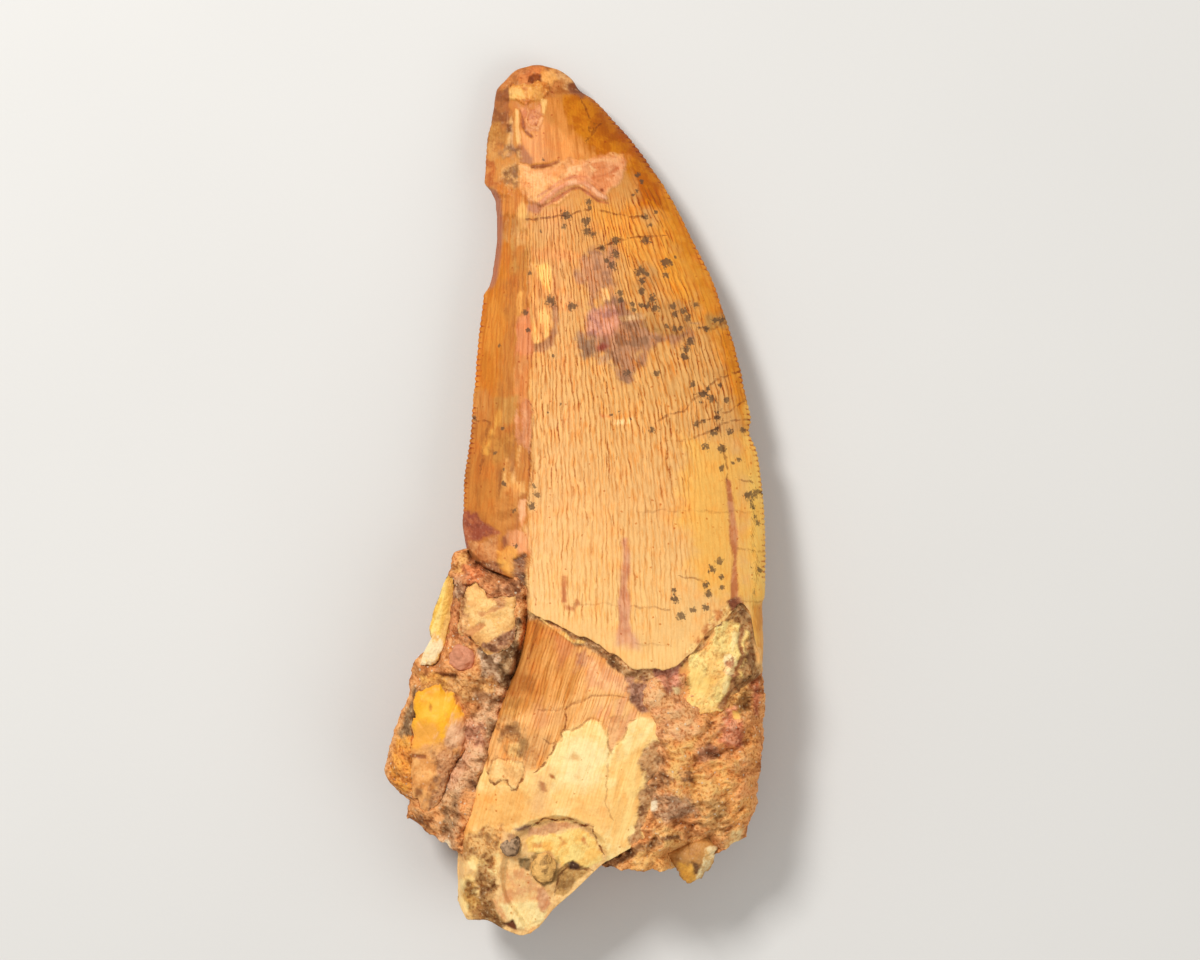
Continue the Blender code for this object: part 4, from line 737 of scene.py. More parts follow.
# Grids of a fragment, whose rings lie under it, up its wall and over its face, and of a stone
SHARD_POINTS, SHARD_RINGS, SHARD_UNDER, SHARD_WALL = 260, 60, 8, 9
STONE_POINTS, STONE_RINGS = 140, 80
# How deep the rock lies under a fragment's face, how wide it banks up to the rim, and how
# much of the tooth's side wall shows inside the window
ROOM_DEPTH, BANK_REACH, WALL_SHOWS = 0.6, 1.0, 0.75

# What each colour is multiplied by, and how bright its brightest channel may then be
ROCK_LIGHT, ROCK_LIMIT = (1.95, 1.95, 1.80), 0.95
BONE_LIGHT, PAINT_LIMIT = (1.06, 1.13, 1.16), 1.1
HEADROOM = 0.86  # share of every colour that reaches the shader, so that crests keep their hue
GRAIN_RELIEF = 0.16  # how high full grit stands up
# How granular ground is painted: shade in its gaps and highlights on its crests
GAP_SHADE, CREST_HIGHLIGHT = np.array((0.46, 0.36, 0.28)), np.array((1.24, 1.28, 1.34))

# Lamps: name, place in metres, size and power
LAMPS = (("key", (-0.20, 0.22, 0.36), 0.12, 1.74), ("fill", (0.30, -0.14, 0.30), 0.30, 0.48))
DAYLIGHT, DAYLIGHT_COLOUR, FLOOR_SIZE = 0.515, (1.0, 0.98, 0.95, 1), 6


def linear(red, green, blue):
    """A display colour of 0 to 255 as linear light."""
    share = np.array((red, green, blue), float) / 255
    return np.where(share <= 0.04045, share / 12.92, ((share + 0.055) / 1.055) ** 2.4)


def along(points, at):
    """Smooth curve through the points that never overshoots them (monotone cubic)."""
    x, y = np.array(sorted(points)).T
    step = np.diff(x)
    rise = np.diff(y) / step
    before, after = rise[:-1], rise[1:]
    same_way = before * after > 0
    mean = 2 * before * after / np.where(same_way, before + after, 1)
    slope = np.concatenate([rise[:1], np.where(same_way, mean, 0), rise[-1:]])
    at = np.clip(at, x[0], x[-1])
    i = np.clip(np.searchsorted(x, at) - 1, 0, len(step) - 1)
    s = (at - x[i]) / step[i]
    bend = s * (1 - s) ** 2 * slope[i] - s * s * (1 - s) * slope[i + 1]
    return y[i] + s * s * (3 - 2 * s) * (y[i + 1] - y[i]) + step[i] * bend


def ramp(value, low, high):
    """0 below low, 1 above high, and a smooth S between them; the other way if low > high."""
    s = np.clip((value - low) / (high - low), 0, 1)
    return s * s * (3 - 2 * s)


def lumps(x, y, z, size, seed):
    """Smooth lumps between -1 and 1: random heights on a cubic lattice, eased between."""
    place = np.stack(np.broadcast_arrays(x, y, z), -1) / size + seed
    cell = np.floor(place)
    s = place - cell
    s = s * s * (3 - 2 * s)
    total = 0.0
    for corner in np.ndindex(2, 2, 2):
        share = np.prod(np.where(corner, s, 1 - s), -1)
        height = np.sin((cell + corner) @ (12.99, 78.23, 37.72)) * 4375.85
        total = total + share * (height - np.floor(height))
    return 2 * total - 1


def rough(x, y, z, size, octaves, seed, keep=0.5, fold=False):
    """Lumps on lumps: each octave is finer and keeps a share of the height before it.

    Folded lumps stand up as rounded clumps with sharp creases between them."""
    total, height = 0.0, 1.0
    for octave in range(octaves):
        turn = 0.8 * octave + seed
        turned = math.cos(turn) * x - math.sin(turn) * y, math.sin(turn) * x + math.cos(turn) * y
        layer = lumps(*turned, z, size, seed + 5.3 * octave)
        total = total + height * (3 * np.abs(layer) - 1 if fold else layer)
        size, height = size / 2.1, height * keep
    return total


def to_segments(points, u, v):
    """Distance to a chain of segments, and the same with a sign for the side it is on."""
    nearest = np.full(np.shape(u), np.inf)
    signed = np.full(np.shape(u), np.inf)
    for (u0, v0), (u1, v1) in zip(points, points[1:]):
        du, dv = u1 - u0, v1 - v0
        s = np.clip(((u - u0) * du + (v - v0) * dv) / (du * du + dv * dv), 0, 1)
        distance = np.hypot(u - u0 - s * du, v - v0 - s * dv)
        side = np.where(du * (v - v0) - dv * (u - u0) < 0, -1, 1)
        signed = np.where(distance < nearest, side * distance, signed)
        nearest = np.minimum(nearest, distance)
    return nearest, signed


def inside(outline, u, v):
    """Distance from a closed outline, positive inside it and negative outside."""
    closed = outline + outline[:1]
    nearest, _ = to_segments(closed, u, v)
    within = np.zeros(np.shape(u), bool)
    for (u0, v0), (u1, v1) in zip(closed, closed[1:]):
        crosses = (v0 > v) != (v1 > v)
        within ^= crosses & (u < u0 + (v - v0) * (u1 - u0) / (v1 - v0 if v1 != v0 else 1))
    return np.where(within, nearest, -nearest)


def from_centre(x, y, centre, radii):
    """Distance from a centre in radii: 1 all along the ellipse."""
    return np.hypot((x - centre[0]) / radii[0], (y - centre[1]) / radii[1])


def bulge(share, power):
    """Height of a section at a share of its width: 0 at both edges and 1 in the middle."""
    return np.clip(4 * share * (1 - share), 0, 1) ** (power / 2)


def spread(z):
    """How much wider the plan shows what lies at height z than what lies at the edges' height."""
    return (EYE_HEIGHT - EDGE_HEIGHT) / (EYE_HEIGHT - z)


def on_plan(x, y, z):
    """Where the plan shows a place on the object."""
    u = SHEET[0] / 2 + PLAN_UNIT * (x - SHEET_MIDDLE[0]) * spread(z)
    v = SHEET[1] / 2 - PLAN_UNIT * (y - SHEET_MIDDLE[1]) * spread(z)
    return u, v


def lifted(points, z):
    """Points (X, Y) as the plan shows them, moved to where they lie at height z."""
    middle = np.array(SHEET_MIDDLE)
    return tuple(map(tuple, middle + (np.array(points) - middle) / spread(z)))


def edge_lifted(points):
    """An outline (Y, X) as the plan shows it, moved to where it lies at its own height."""
    moved = [lifted(((x, y),), along(EDGE_HEIGHTS, y))[0] for y, x in points]
    return tuple((y, x) for x, y in moved)


def stone_centre(name):
    """Middle of a stone, moved from where the plan shows it to where it lies."""
    x, y, z = STONES[name][0]
    return (*lifted(((x, y),), z)[0], z)


WHOLE_LEFT, TOOTH_RIGHT = edge_lifted(WHOLE_LEFT_SEEN), edge_lifted(TOOTH_RIGHT_SEEN)
ENAMEL_EDGE, WINDOW = lifted(ENAMEL_EDGE_SEEN, FACE_LIFT), lifted(WINDOW_SEEN, FACE_LIFT)
ROOT_END = lifted(ROOT_END_SEEN, ROOT_END_LIFT)
MATRIX_END = lifted(MATRIX_END_SEEN, MATRIX_END_LIFT)
SHARDS = {name: (lifted(parts[0], parts[1]), *parts[1:]) for name, parts in SHARDS_SEEN.items()}


def tooth_left(y):
    """X of the tooth's left edge, inside its break."""
    return along(WHOLE_LEFT, y) + along(LEFT_BREAK, y)


def tooth_right(y):
    """X of the tooth's right edge."""
    return along(TOOTH_RIGHT, y)


def notch(side, y):
    """How deep a cutting edge is notched, 0 on a denticle and 1 between two.

    Denticles are counted along the edge from the tip, and a rounded arch spans each."""
    fine = np.linspace(TIP_Y, DENTICLE_FOOT_Y, DENTICLE_SAMPLES)
    outline = tooth_left(fine) if side == "left" else tooth_right(fine)
    run = np.hypot(np.diff(fine), np.diff(outline)) / along(DENTICLES[side], fine[1:])
    count = np.interp(-y, -fine, np.concatenate([[0], np.cumsum(run)]))
    arch = np.abs(np.sin(np.pi * count)) ** 0.6
    there = 0.0
    for top, low, deep in DENTICLE_SPANS[side]:
        there = there + deep * ramp(y, low, low + 1) * ramp(-y, -top, -top + 1)
    wear = 0.75 + 0.35 * lumps(y, 0, 0, 1.7, 3.0)
    return there * (1 - arch) * wear


def fine_edge(side, y):
    """A cutting edge with its denticles and a little wear."""
    out, edge = (-1, tooth_left(y)) if side == "left" else (1, tooth_right(y))
    return edge - out * (DENTICLE_DEPTH * notch(side, y) + 0.04 * rough(y, 0, 0, 0.9, 3, 2.0 + out))


def tooth_section(x, y, side, walled=True):
    """Height of the whole tooth's front (side 1) or back (side -1), and its mid height.

    The section is a lens or oval across the width, cut off in a wall at the left break."""
    left, right = along(WHOLE_LEFT, y), tooth_right(y)
    share = np.clip((x - left) / (right - left), 0, 1)
    front, back = along(FRONT_HEIGHT, y), along(BACK_HEIGHT, y)
    middle, half = (front + back) / 2, (front - back) / 2
    broken = along(LEFT_BREAK, y)
    wall = np.sqrt(ramp(x - left - broken, 0, np.clip(broken, 0.01, BREAK_ROUNDING))) if walled else 1
    height = middle + side * half * bulge(share, along(SECTION_POWER, y)) * wall
    return (height if side > 0 else np.maximum(height, 0)), middle, share


def root_front(x, y, walled=True):
    """Front of the root: the section, less the step below the enamel and the broken lobe."""
    height, middle, share = tooth_section(x, y, 1, walled)
    below_enamel = np.maximum(along(ENAMEL_EDGE, x) - y, 0)
    step = ENAMEL_STEP * (0.5 + 0.5 * np.exp(-below_enamel / STEP_REACH))
    lobe = 1 - from_centre(x, y, LOBE_CENTRE, LOBE_RADII) + 0.03 * rough(x, y, 0, 1.5, 3, 4.0)
    step = step + LOBE_STEP * ramp(lobe, 0, 0.1)
    return np.maximum(height - step * ramp(share, 0, 0.12) * ramp(1 - share, 0, 0.06), middle)


def tooth_front(x, y, walled=True):
    """Front of the tooth: enamel above the enamel's lower edge and root below it."""
    above = y > along(ENAMEL_EDGE, x)
    return np.where(above, tooth_section(x, y, 1, walled)[0], root_front(x, y, walled))


def columns(count, insets):
    """Places across a face: fixed insets at both rims and even shares between them."""
    middle = count - 2 * len(insets)
    inset = np.concatenate([insets, np.full(middle, RIM), 2 * RIM - np.array(insets[::-1])])
    share = np.concatenate([np.zeros(len(insets)), np.linspace(0, 1, middle), np.ones(len(insets))])
    return inset, share


def across(places, left, right):
    """X of each column. Rims narrow with the face where it is narrow."""
    inset, share = places
    scale = np.minimum(1, RIM_SHARE * (right - left) / RIM)
    return left + inset * scale + share * (right - left - 2 * RIM * scale)


def on_line(line, places, left, right):
    """Y where a line crossing a piece meets each column, found by stepping towards it."""
    y = np.full(len(places[0]), np.mean([p[1] for p in line]))
    for _ in range(LINE_STEPS):
        y += LINE_STRIDE * (along(line, across(places, left(y), right(y))) - y)
    return y


def ringed(front, back):
    """Rings round a piece: the front from left to right, then the back's inner columns."""
    return np.concatenate([front, back[:, -2:0:-1]], 1)


def closed_end(ring, sizes, steps, narrow=0.0):
    """Rings that close an end: each shrinks towards the ring's mid height and moves on in Y.

    The ring's width shrinks with its height as far as narrow says."""
    low, high = ring.min(0), ring.max(0)
    rings = []
    for size, step in zip(sizes, steps):
        scale = np.array((1 - narrow * (1 - size), 1, size))
        rings.append((low + high) / 2 + (ring - (low + high) / 2) * scale + (0, step, 0))
    return np.stack(rings)


def broken_end(ring, inward, seed):
    """Rings that close an end in broken ground: each is flatter, and moved inward by lumps.

    The last three draw in to a small cap deep inside the piece."""
    share = np.linspace(0, 1, END_RINGS + 1)[1:, None]
    middle = (ring[:, 2].min() + ring[:, 2].max()) / 2
    z = middle + (ring[:, 2] - middle) * (1 - share)
    x = ring[:, 0] + 0 * z
    coarse = lumps(x, 0, z, 2.2, seed) + 0.5 * lumps(x, 0, z, 1.2, seed + 3.0)
    move = (0.5 + 0.5 * coarse) * ramp(share, 0, 0.35)
    move = move + 0.2 * rough(x, 0, z, 0.9, 4, seed, 0.65) * ramp(share, 0, 0.1)
    rings = np.stack([x, ring[:, 1] + inward * move, z], -1)
    heart = np.array((ring[:, 0].mean(), ring[:, 1].mean() + 5 * inward, middle))
    return np.concatenate([rings, [heart + (rings[-1] - heart) * size for size in (0.6, 0.3, 0.01)]])


def eased(heights, passes):
    """Heights on a grid with their spikes taken off: each pass averages neighbouring points."""
    heights = heights.copy()
    for _ in range(passes):
        heights[1:-1] = (heights[:-2] + 2 * heights[1:-1] + heights[2:]) / 4
        heights[:, 1:-1] = (heights[:, :-2] + 2 * heights[:, 1:-1] + heights[:, 2:]) / 4
    return heights


def levelled(z):
    """Heights of a front with what rises above the level top pressed down."""
    return z - LEVEL_PRESS * np.maximum(z - LEVEL_TOP, 0)


def mottled(x, y, z, pale, dark, size, seed):
    """Two colours mottled by lumps in space."""
    share = ramp(rough(x, y, z, size, 4, seed), -0.5, 0.6)[..., None]
    return linear(*pale) + share * (linear(*dark) - linear(*pale))


def gap_shade_crest_highlight(colour, grain, amount):
    """Painted highlights on the crests of a grained surface and painted shade in its gaps, as far as amount
    says.
    """
    low = (amount * ramp(-grain, 0.1, 0.9))[..., None]
    high = (amount * ramp(grain, 0.3, 1.1))[..., None]
    return colour * (1 - low * (1 - GAP_SHADE)) * (1 + high * (CREST_HIGHLIGHT - 1))


def lit(colour, light, brightest):
    """Colour times a light, dimmed as a whole where a channel would be too bright."""
    colour = colour * light
    return colour / np.maximum(colour.max(-1, keepdims=True) / brightest, 1)


def painted(patches, base, x, y, z, lane, grit=0.0):
    """Colour, relief and grit from patches laid over each other on the plan, in order.

    Round blobs, and streaks drawn out along the lane, make the outlines ragged and mottle
    a patch with its second colour. Where there is grit, grains stand up and sink in."""
    u, v = on_plan(x, y, z)
    blob = RAGGED * rough(x, y, 0, 1.5, 6, 1.7, 0.6)
    clump = rough(x, y, 0, 0.8, 5, 6.1, 0.65)
    streak = rough(lane, y / 6, 0, 0.45, 3, 0.0)
    colour, relief, grit = base.copy(), np.zeros_like(x), np.full_like(x, grit)
    for patch in (Patch(*values) for values in patches):
        reach = patch.soft + patch.width + 3 * (patch.blob + patch.streak)
        corners = np.array(patch.outline)
        low, high = corners.min(0) - reach, corners.max(0) + reach
        near = (u > low[0]) & (u < high[0]) & (v > low[1]) & (v < high[1])
        if patch.width:
            depth = patch.width - to_segments(patch.outline, u[near], v[near])[0]
        else:
            depth = inside(patch.outline, u[near], v[near])
        depth = depth + patch.blob * blob[near] + patch.streak * streak[near]
        share = ramp(depth, -patch.soft, patch.soft)
        tone = linear(*patch.colour)
        if patch.second:
            mottle = streak[near] if patch.streak > patch.blob else clump[near]
            tone = tone + ramp(mottle, -0.35, 0.5)[:, None] * (linear(*patch.second) - tone)
        colour[near] += share[:, None] * (tone - colour[near])
        relief[near] += share * patch.rise
        if patch.grit is not None:
            grit[near] += share * (patch.grit - grit[near])
    grain = rough(x, y, 0, 0.75, 4, 2.7, 0.65)
    # Grains get painted highlights on their crests and painted shade in their gaps.
    colour = lit(gap_shade_crest_highlight(colour, grain, grit), 1.0, PAINT_LIMIT)
    return colour, relief + GRAIN_RELIEF * grit * grain, grit


def down_colours(stops, y, z):
    """Colour that changes down the plan, through the stops."""
    _, v = on_plan(0.0, y, z)
    heights = [s[0] for s in stops]
    channels = np.array([linear(*s[1:]) for s in stops]).T
    return np.stack([np.interp(v, heights, c) for c in channels], -1)


def crack_fields(cracks, x, y, z, far=12.0):
    """To the nearest crack: distance, the same with a side's sign, and how dark it is."""
    u, v = on_plan(x, y, z)
    u, v = u + 1.6 * rough(x, y, 0, 0.8, 3, 2.0), v + 1.6 * rough(x, y, 0, 0.8, 3, 7.0)
    near, signed, dark = np.full_like(u, far), np.full_like(u, far), np.zeros_like(u)
    for darkness, crack in cracks:
        low, high = np.array(crack).min(0) - far, np.array(crack).max(0) + far
        here = (u > low[0]) & (u < high[0]) & (v > low[1]) & (v < high[1])
        distance, side = to_segments(crack, u[here], v[here])
        closer = distance < near[here]
        near[here] = np.where(closer, distance, near[here])
        signed[here] = np.where(closer, side, signed[here])
        dark[here] = np.where(closer, darkness, dark[here])
    return {"crack_near": near, "crack_side": signed, "crack_dark": dark}


def spot_field(x, y, z):
    """1 in the middle of a mineral spot, falling evenly to 0 at twice its radius."""
    u, v = on_plan(x, y, z)
    field = np.zeros_like(u)
    for place_u, place_v, radius in SPOTS:
        field = np.maximum(field, 1 - np.hypot(u - place_u, v - place_v) / (2 * radius))
    return field


def crown_lean(x, y, z):
    """How far the enamel's grooves have drifted across from X: they lean with the right edge."""
    u, v = on_plan(x, y, z)
    drift = np.interp(v, *zip(*LEAN)) / PLAN_UNIT
    return drift * np.clip((u - LEAN_START) / LEAN_WIDTH, -0.25, 1)


def carried(marks, before, after):
    """Marks of both faces joined round the rings, and repeated on the closing rings."""
    joined = {}
    for name in marks[0]:
        ring = ringed(marks[0][name], marks[1][name])
        first, last = np.repeat(ring[:1], before, 0), np.repeat(ring[-1:], after, 0)
        joined[name] = np.concatenate([first, ring, last])
    return joined


def end_tints(marks, points, tints):
    """The closing rings' colour runs from the face's into that of broken ground."""
    share = np.linspace(0, 1, len(points))[:, None, None] ** 0.5
    end = marks["tint"][-len(points):]
    x, y, z = np.moveaxis(points, -1, 0)
    # Broken ground gets painted highlights on its lumps and painted shade between them.
    ground = gap_shade_crest_highlight(mottled(x, y, z, *tints, 1.5, 3.0), rough(x, y, z, 0.8, 4, 1.0), 0.8)
    end += share * (ground - end)


def enamel_front(x, y, z, lane):
    """Colour, relief, grit and other marks of the crown's front.

    It is wrinkled most inside its outline, and less towards the tip and the lower edge."""
    u, v = on_plan(x, y, z)
    base = down_colours(CROWN_BASE, y, z)
    colour, relief, grit = painted(CROWN_PATCHES, base, x, y, z, lane)
    wrinkle = 0.35 + 0.65 * ramp(inside(WRINKLED, u, v) + 6 * lumps(x, y, 0, 0.8, 4.0), -9, 9)
    wrinkle *= (0.3 + 0.7 * ramp(v, *WRINKLES_GROW)) * (1 - 0.5 * ramp(v, *WRINKLES_FADE))
    wrinkle *= 1 - 0.7 * grit
    cracks = crack_fields(CROWN_CRACKS, x, y, z)
    return colour, relief, grit, {"wrinkle": wrinkle, "spot": spot_field(x, y, z), **cracks}


def enamel_back(x, y, z, lane):
    """The same of the crown's back: darker streaks down it, and moved cracks and spots."""
    streak = rough(lane, y / 6, 0, 0.7, 4, 9.0)[..., None]
    colour = down_colours(CROWN_BASE, y, z) * (1 - 0.25 * ramp(streak, 0, 0.8))
    cracks = crack_fields(CROWN_CRACKS[:9], 7.0 - x, y + 6.0, z)
    spots = spot_field(6.0 - x, y + 3.0, z)
    return colour, 0 * x, 0 * x, {"wrinkle": np.full_like(x, 0.7), "spot": spots, **cracks}


def crown():
    """The enamel crown, from the worn tip to the enamel's ragged lower edge.

    Rows run from the tip down, and bend over the lower part to follow that edge."""
    left, right = (lambda y: fine_edge("left", y)), (lambda y: fine_edge("right", y))
    rings, marks = [], []
    for side, count, insets in CROWN_FACES:
        places = columns(count, insets)
        edge = on_line(ENAMEL_EDGE, places, tooth_left, tooth_right)
        edge = edge + 0.2 * rough(across(places, left(edge), right(edge)), 0, 0, 1.1, 5, 8.0)
        down = np.linspace(0, 1, CROWN_ROWS)[:, None] ** 1.08
        y = TIP_Y * (1 - down) + ENAMEL_MEAN_Y * down + (edge - ENAMEL_MEAN_Y) * down**4
        first, last = left(y), right(y)
        x = across(places, first, last)
        z = tooth_section(x, y, side)[0]
        rim = np.minimum(x - first, last - x)
        lane = x - crown_lean(x, y, z)
        colour, relief, grit, more = (enamel_front if side > 0 else enamel_back)(x, y, z, lane)
        edge_notch = np.maximum(notch("left", y) * ramp(first - x, -0.9, 0),
                                notch("right", y) * ramp(x - last, -0.9, 0))
        chip = ramp(along(LEFT_BREAK, y), 0.15, 0.8) * ramp(first - x, -0.75, -0.35) * ramp(y, -2, 2)
        colour = colour + chip[..., None] * (linear(*CHIPPED_EDGE) - colour)
        relief = relief + 0.03 * rough(x, y, 0, 3.0, 3, 2.2) - 0.1 * edge_notch
        z = z + side * relief * ramp(rim, 0.02, 0.5)
        rings.append(np.stack([x, y, z], -1))
        marks.append({"tint": colour, "grain": np.stack([lane, y, z], -1), "grit": grit,
                      "edge_notch": edge_notch, "edge_rim": ramp(rim, 0.75, 0.1), **more})
    body = ringed(*rings)
    top = closed_end(body[0], *TIP_CLOSING, 1.0)
    bottom = closed_end(body[-1], *ENAMEL_CLOSING)
    return np.concatenate([top, body, bottom]), carried(marks, len(top), len(bottom))


def dentine_front(x, y, z, lane):
    """Colour, relief, grit and cracks of the root's front.

    A rough fillet runs up to the enamel's edge, and a rough bank up to each pebble."""
    base = down_colours(ROOT_BASE, y, z)
    colour, relief, grit = painted(ROOT_PATCHES, base, x, y, z, lane, 0.12)
    fillet = np.exp(-((along(ENAMEL_EDGE, x) - y) / FILLET_REACH) ** 2)
    relief = relief + FILLET * fillet * (0.8 + 0.5 * rough(x, y, 0, 0.8, 4, 6.0))
    for name in ("olive_pebble", "grey_pebble"):
        socket = from_centre(x, y, stone_centre(name), STONES[name][1])
        relief = relief + 0.16 * ramp(socket, 1.7, 1.1) * (0.6 + 0.8 * rough(x, y, 0, 0.9, 3, 8.0))
    return lit(colour, BONE_LIGHT, PAINT_LIMIT), relief, grit, crack_fields(ROOT_CRACKS, x, y, z)


def dentine_back(x, y, z):
    """The same of the root's back, which is evenly mottled and granular."""
    grain = rough(x, y, 0, 0.9, 4, 2.0)
    # Its grain gets painted highlights on its crests and painted shade in its gaps.
    colour = gap_shade_crest_highlight(mottled(x, y, 0, *ROOT_BACK, 2.6, 5.0), grain, 0.5)
    return colour, 0.06 * grain, 0.4 + 0 * x, crack_fields(ROOT_CRACKS, 1.0 - x, y, z)


def root():
    """The bare root, from under the enamel to the broken lobe at its end."""
    rings, marks = [], []
    for side, count, insets in ROOT_FACES:
        places = columns(count, insets)
        start = on_line(ENAMEL_EDGE, places, tooth_left, tooth_right) + OVERLAP
        end = on_line(ROOT_END, places, tooth_left, tooth_right)
        down = np.linspace(0, 1, ROOT_ROWS)[:, None]
        y = start * (1 - down) + end * down
        tuck = 0.2 * ramp(OVERLAP - (start - y), 0, 1)
        ragged = 0.1 * rough(y, 0, 0, 1.2, 4, 3.0)
        x = across(places, tooth_left(y) + tuck - ragged, tooth_right(y) - tuck + ragged)
        lane = x - 0.3 * y
        rim = np.minimum(x - tooth_left(y), tooth_right(y) - x)
        if side > 0:
            z = root_front(x, y)
            colour, relief, grit, cracks = dentine_front(x, y, z, lane)
        else:
            z = tooth_section(x, y, side)[0] + 0.15 * ramp(y - along(ENAMEL_EDGE, x), -0.3, 0.6)
            colour, relief, grit, cracks = dentine_back(x, y, z)
        bare = inside(STRIATED, *on_plan(x, y, z)) + 4 * lumps(x, y, 0, 0.8, 4.0)
        striated = ramp(bare, -4, 4) * (1 - 0.8 * grit)
        relief = relief + 0.08 * rough(x, y, 0, 2.6, 5, 3.2)
        relief = relief - 0.12 * cracks["crack_dark"] * ramp(-cracks["crack_near"], -2.4, -0.6)
        z = levelled(z + side * relief * ramp(rim, 0.02, 0.4))
        rings.append(np.stack([x, y, z], -1))
        marks.append({"tint": colour, "grain": np.stack([lane, y, z], -1), "grit": grit,
                      "wrinkle": 0.08 + 0.46 * striated, "spot": 0 * x, "edge_notch": 0 * x,
                      "edge_rim": 0 * x, **cracks})
    body = ringed(*rings)
    top = closed_end(body[0], *ROOT_CLOSING)
    bottom = broken_end(body[-1], 1, 5.0)
    marks = carried(marks, len(top), len(bottom))
    end_tints(marks, bottom, BROKEN_BONE)
    return np.concatenate([top, body, bottom]), marks


def matrix_left(y):
    """X of the sandstone's left edge, worn uneven."""
    return along(MATRIX_LEFT, y) + 0.12 * rough(y, 0, 0, 1.3, 4, 1.2, 0.6)


def matrix_right(y):
    """X of the sandstone's right edge, worn uneven."""
    return along(MATRIX_RIGHT, y) + 0.08 * rough(y, 0, 0, 1.1, 4, 4.4, 0.6)


# What both faces of the sandstone share: mid height, section, lumps, clumps, and whether the
# tooth lies over or under
Rock = namedtuple("Rock", "middle section lumpy clump beside")


def rock_tone(x, y, z, seed):
    """Mottled sandstone, and the same with painted highlights on its clumps and painted shade between them.
    """
    ground = mottled(x, y, z, *MATRIX_BASE, 2.4, seed)
    return ground, gap_shade_crest_highlight(ground, rough(x, y, z, 1.2, 4, 5.5, 0.6, True), 0.8)


def rock_front(x, y, rock):
    """Height, colour and grit of the sandstone's front.

    It lies under the tooth inside the window and creeps over it outside. Where the section
    falls off in a wall, painted areas give way to the mottled tone with painted highlights on
    its clumps and painted shade between them."""
    z = along(MATRIX_FRONT_HEIGHT, y) - SANDSTONE_LEFT_FALL * ramp(-x, *LEFT_FALL_SPAN)
    z = rock.middle + (z - rock.middle + LUMP_HEIGHT * rock.lumpy) * rock.section
    border = -inside(WINDOW, x, y) + 0.22 * rough(x, y, 0, 1.1, 5, 5.0)
    tooth = tooth_front(x, y)
    bank = tooth_front(x, y, False) - WALL_SHOWS * ramp(-border, 0, 0.4)
    shift = np.clip(border * 1.2, -SANDSTONE_COVER, SANDSTONE_COVER)
    under = np.minimum(z, np.maximum(tooth, bank) + shift)
    shaped = np.where(border < 0, under, np.maximum(z, tooth + shift))
    z = np.where(rock.beside, shaped, z)
    ground, wall = rock_tone(x, y, z, 5.1)
    colour, relief, grit = painted(MATRIX_PATCHES, ground, x, y, z, x - 0.5 * y, 0.8)
    # Clumps get painted highlights and the creases between them painted shade.
    colour = gap_shade_crest_highlight(colour, rock.clump, 0.85 * grit)
    colour = colour + ramp(rock.section, 0.5, 0.38)[..., None] * (wall - colour)
    crumbs = 0.18 * rough(x, y, 0, 0.6, 3, 9.0, 0.7, True)
    z = z + ((0.44 * rock.clump + crumbs) * grit + relief) * ramp(rock.section, 0, 0.5)
    z = levelled(eased(bedded(x, y, z, ramp(rock.section, 0.2, 0.6)), 2))
    return np.maximum(z, rock.middle + THINNEST), colour, grit


def rock_back(x, y, rock):
    """The same of the underside: lumpy, but sunk to a level spot where the fossil rests.

    Below the line that crosses the tooth's back it wraps the tooth, and above that line it
    lies hidden in the tooth."""
    away = ramp(from_centre(x, y, REST_CENTRE, REST_RADII), 1.0, 1.9)
    lift = away * np.maximum(UNDERSIDE_LIFT + LUMP_HEIGHT * rock.lumpy, 0.15)
    z = rock.middle - (rock.middle - lift + REST_SINK * (1 - away)) * rock.section
    below = along(MATRIX_BACK_EDGE, x) - y + 0.25 * rough(x, y, 0, 1.3, 4, 5.0)
    shift = np.clip(below * 0.9, -SANDSTONE_COVER, SANDSTONE_COVER)
    tooth = tooth_section(x, y, -1)[0] - shift
    shaped = np.where(below < 0, np.maximum(z, tooth), np.minimum(z, tooth))
    z = np.maximum(np.where(rock.beside, shaped, z) - 0.18 * rock.clump * away, 0)
    z = np.minimum(z, rock.middle - THINNEST)
    return z, rock_tone(x, y, z, 3.1)[1], 0.9 + 0 * x


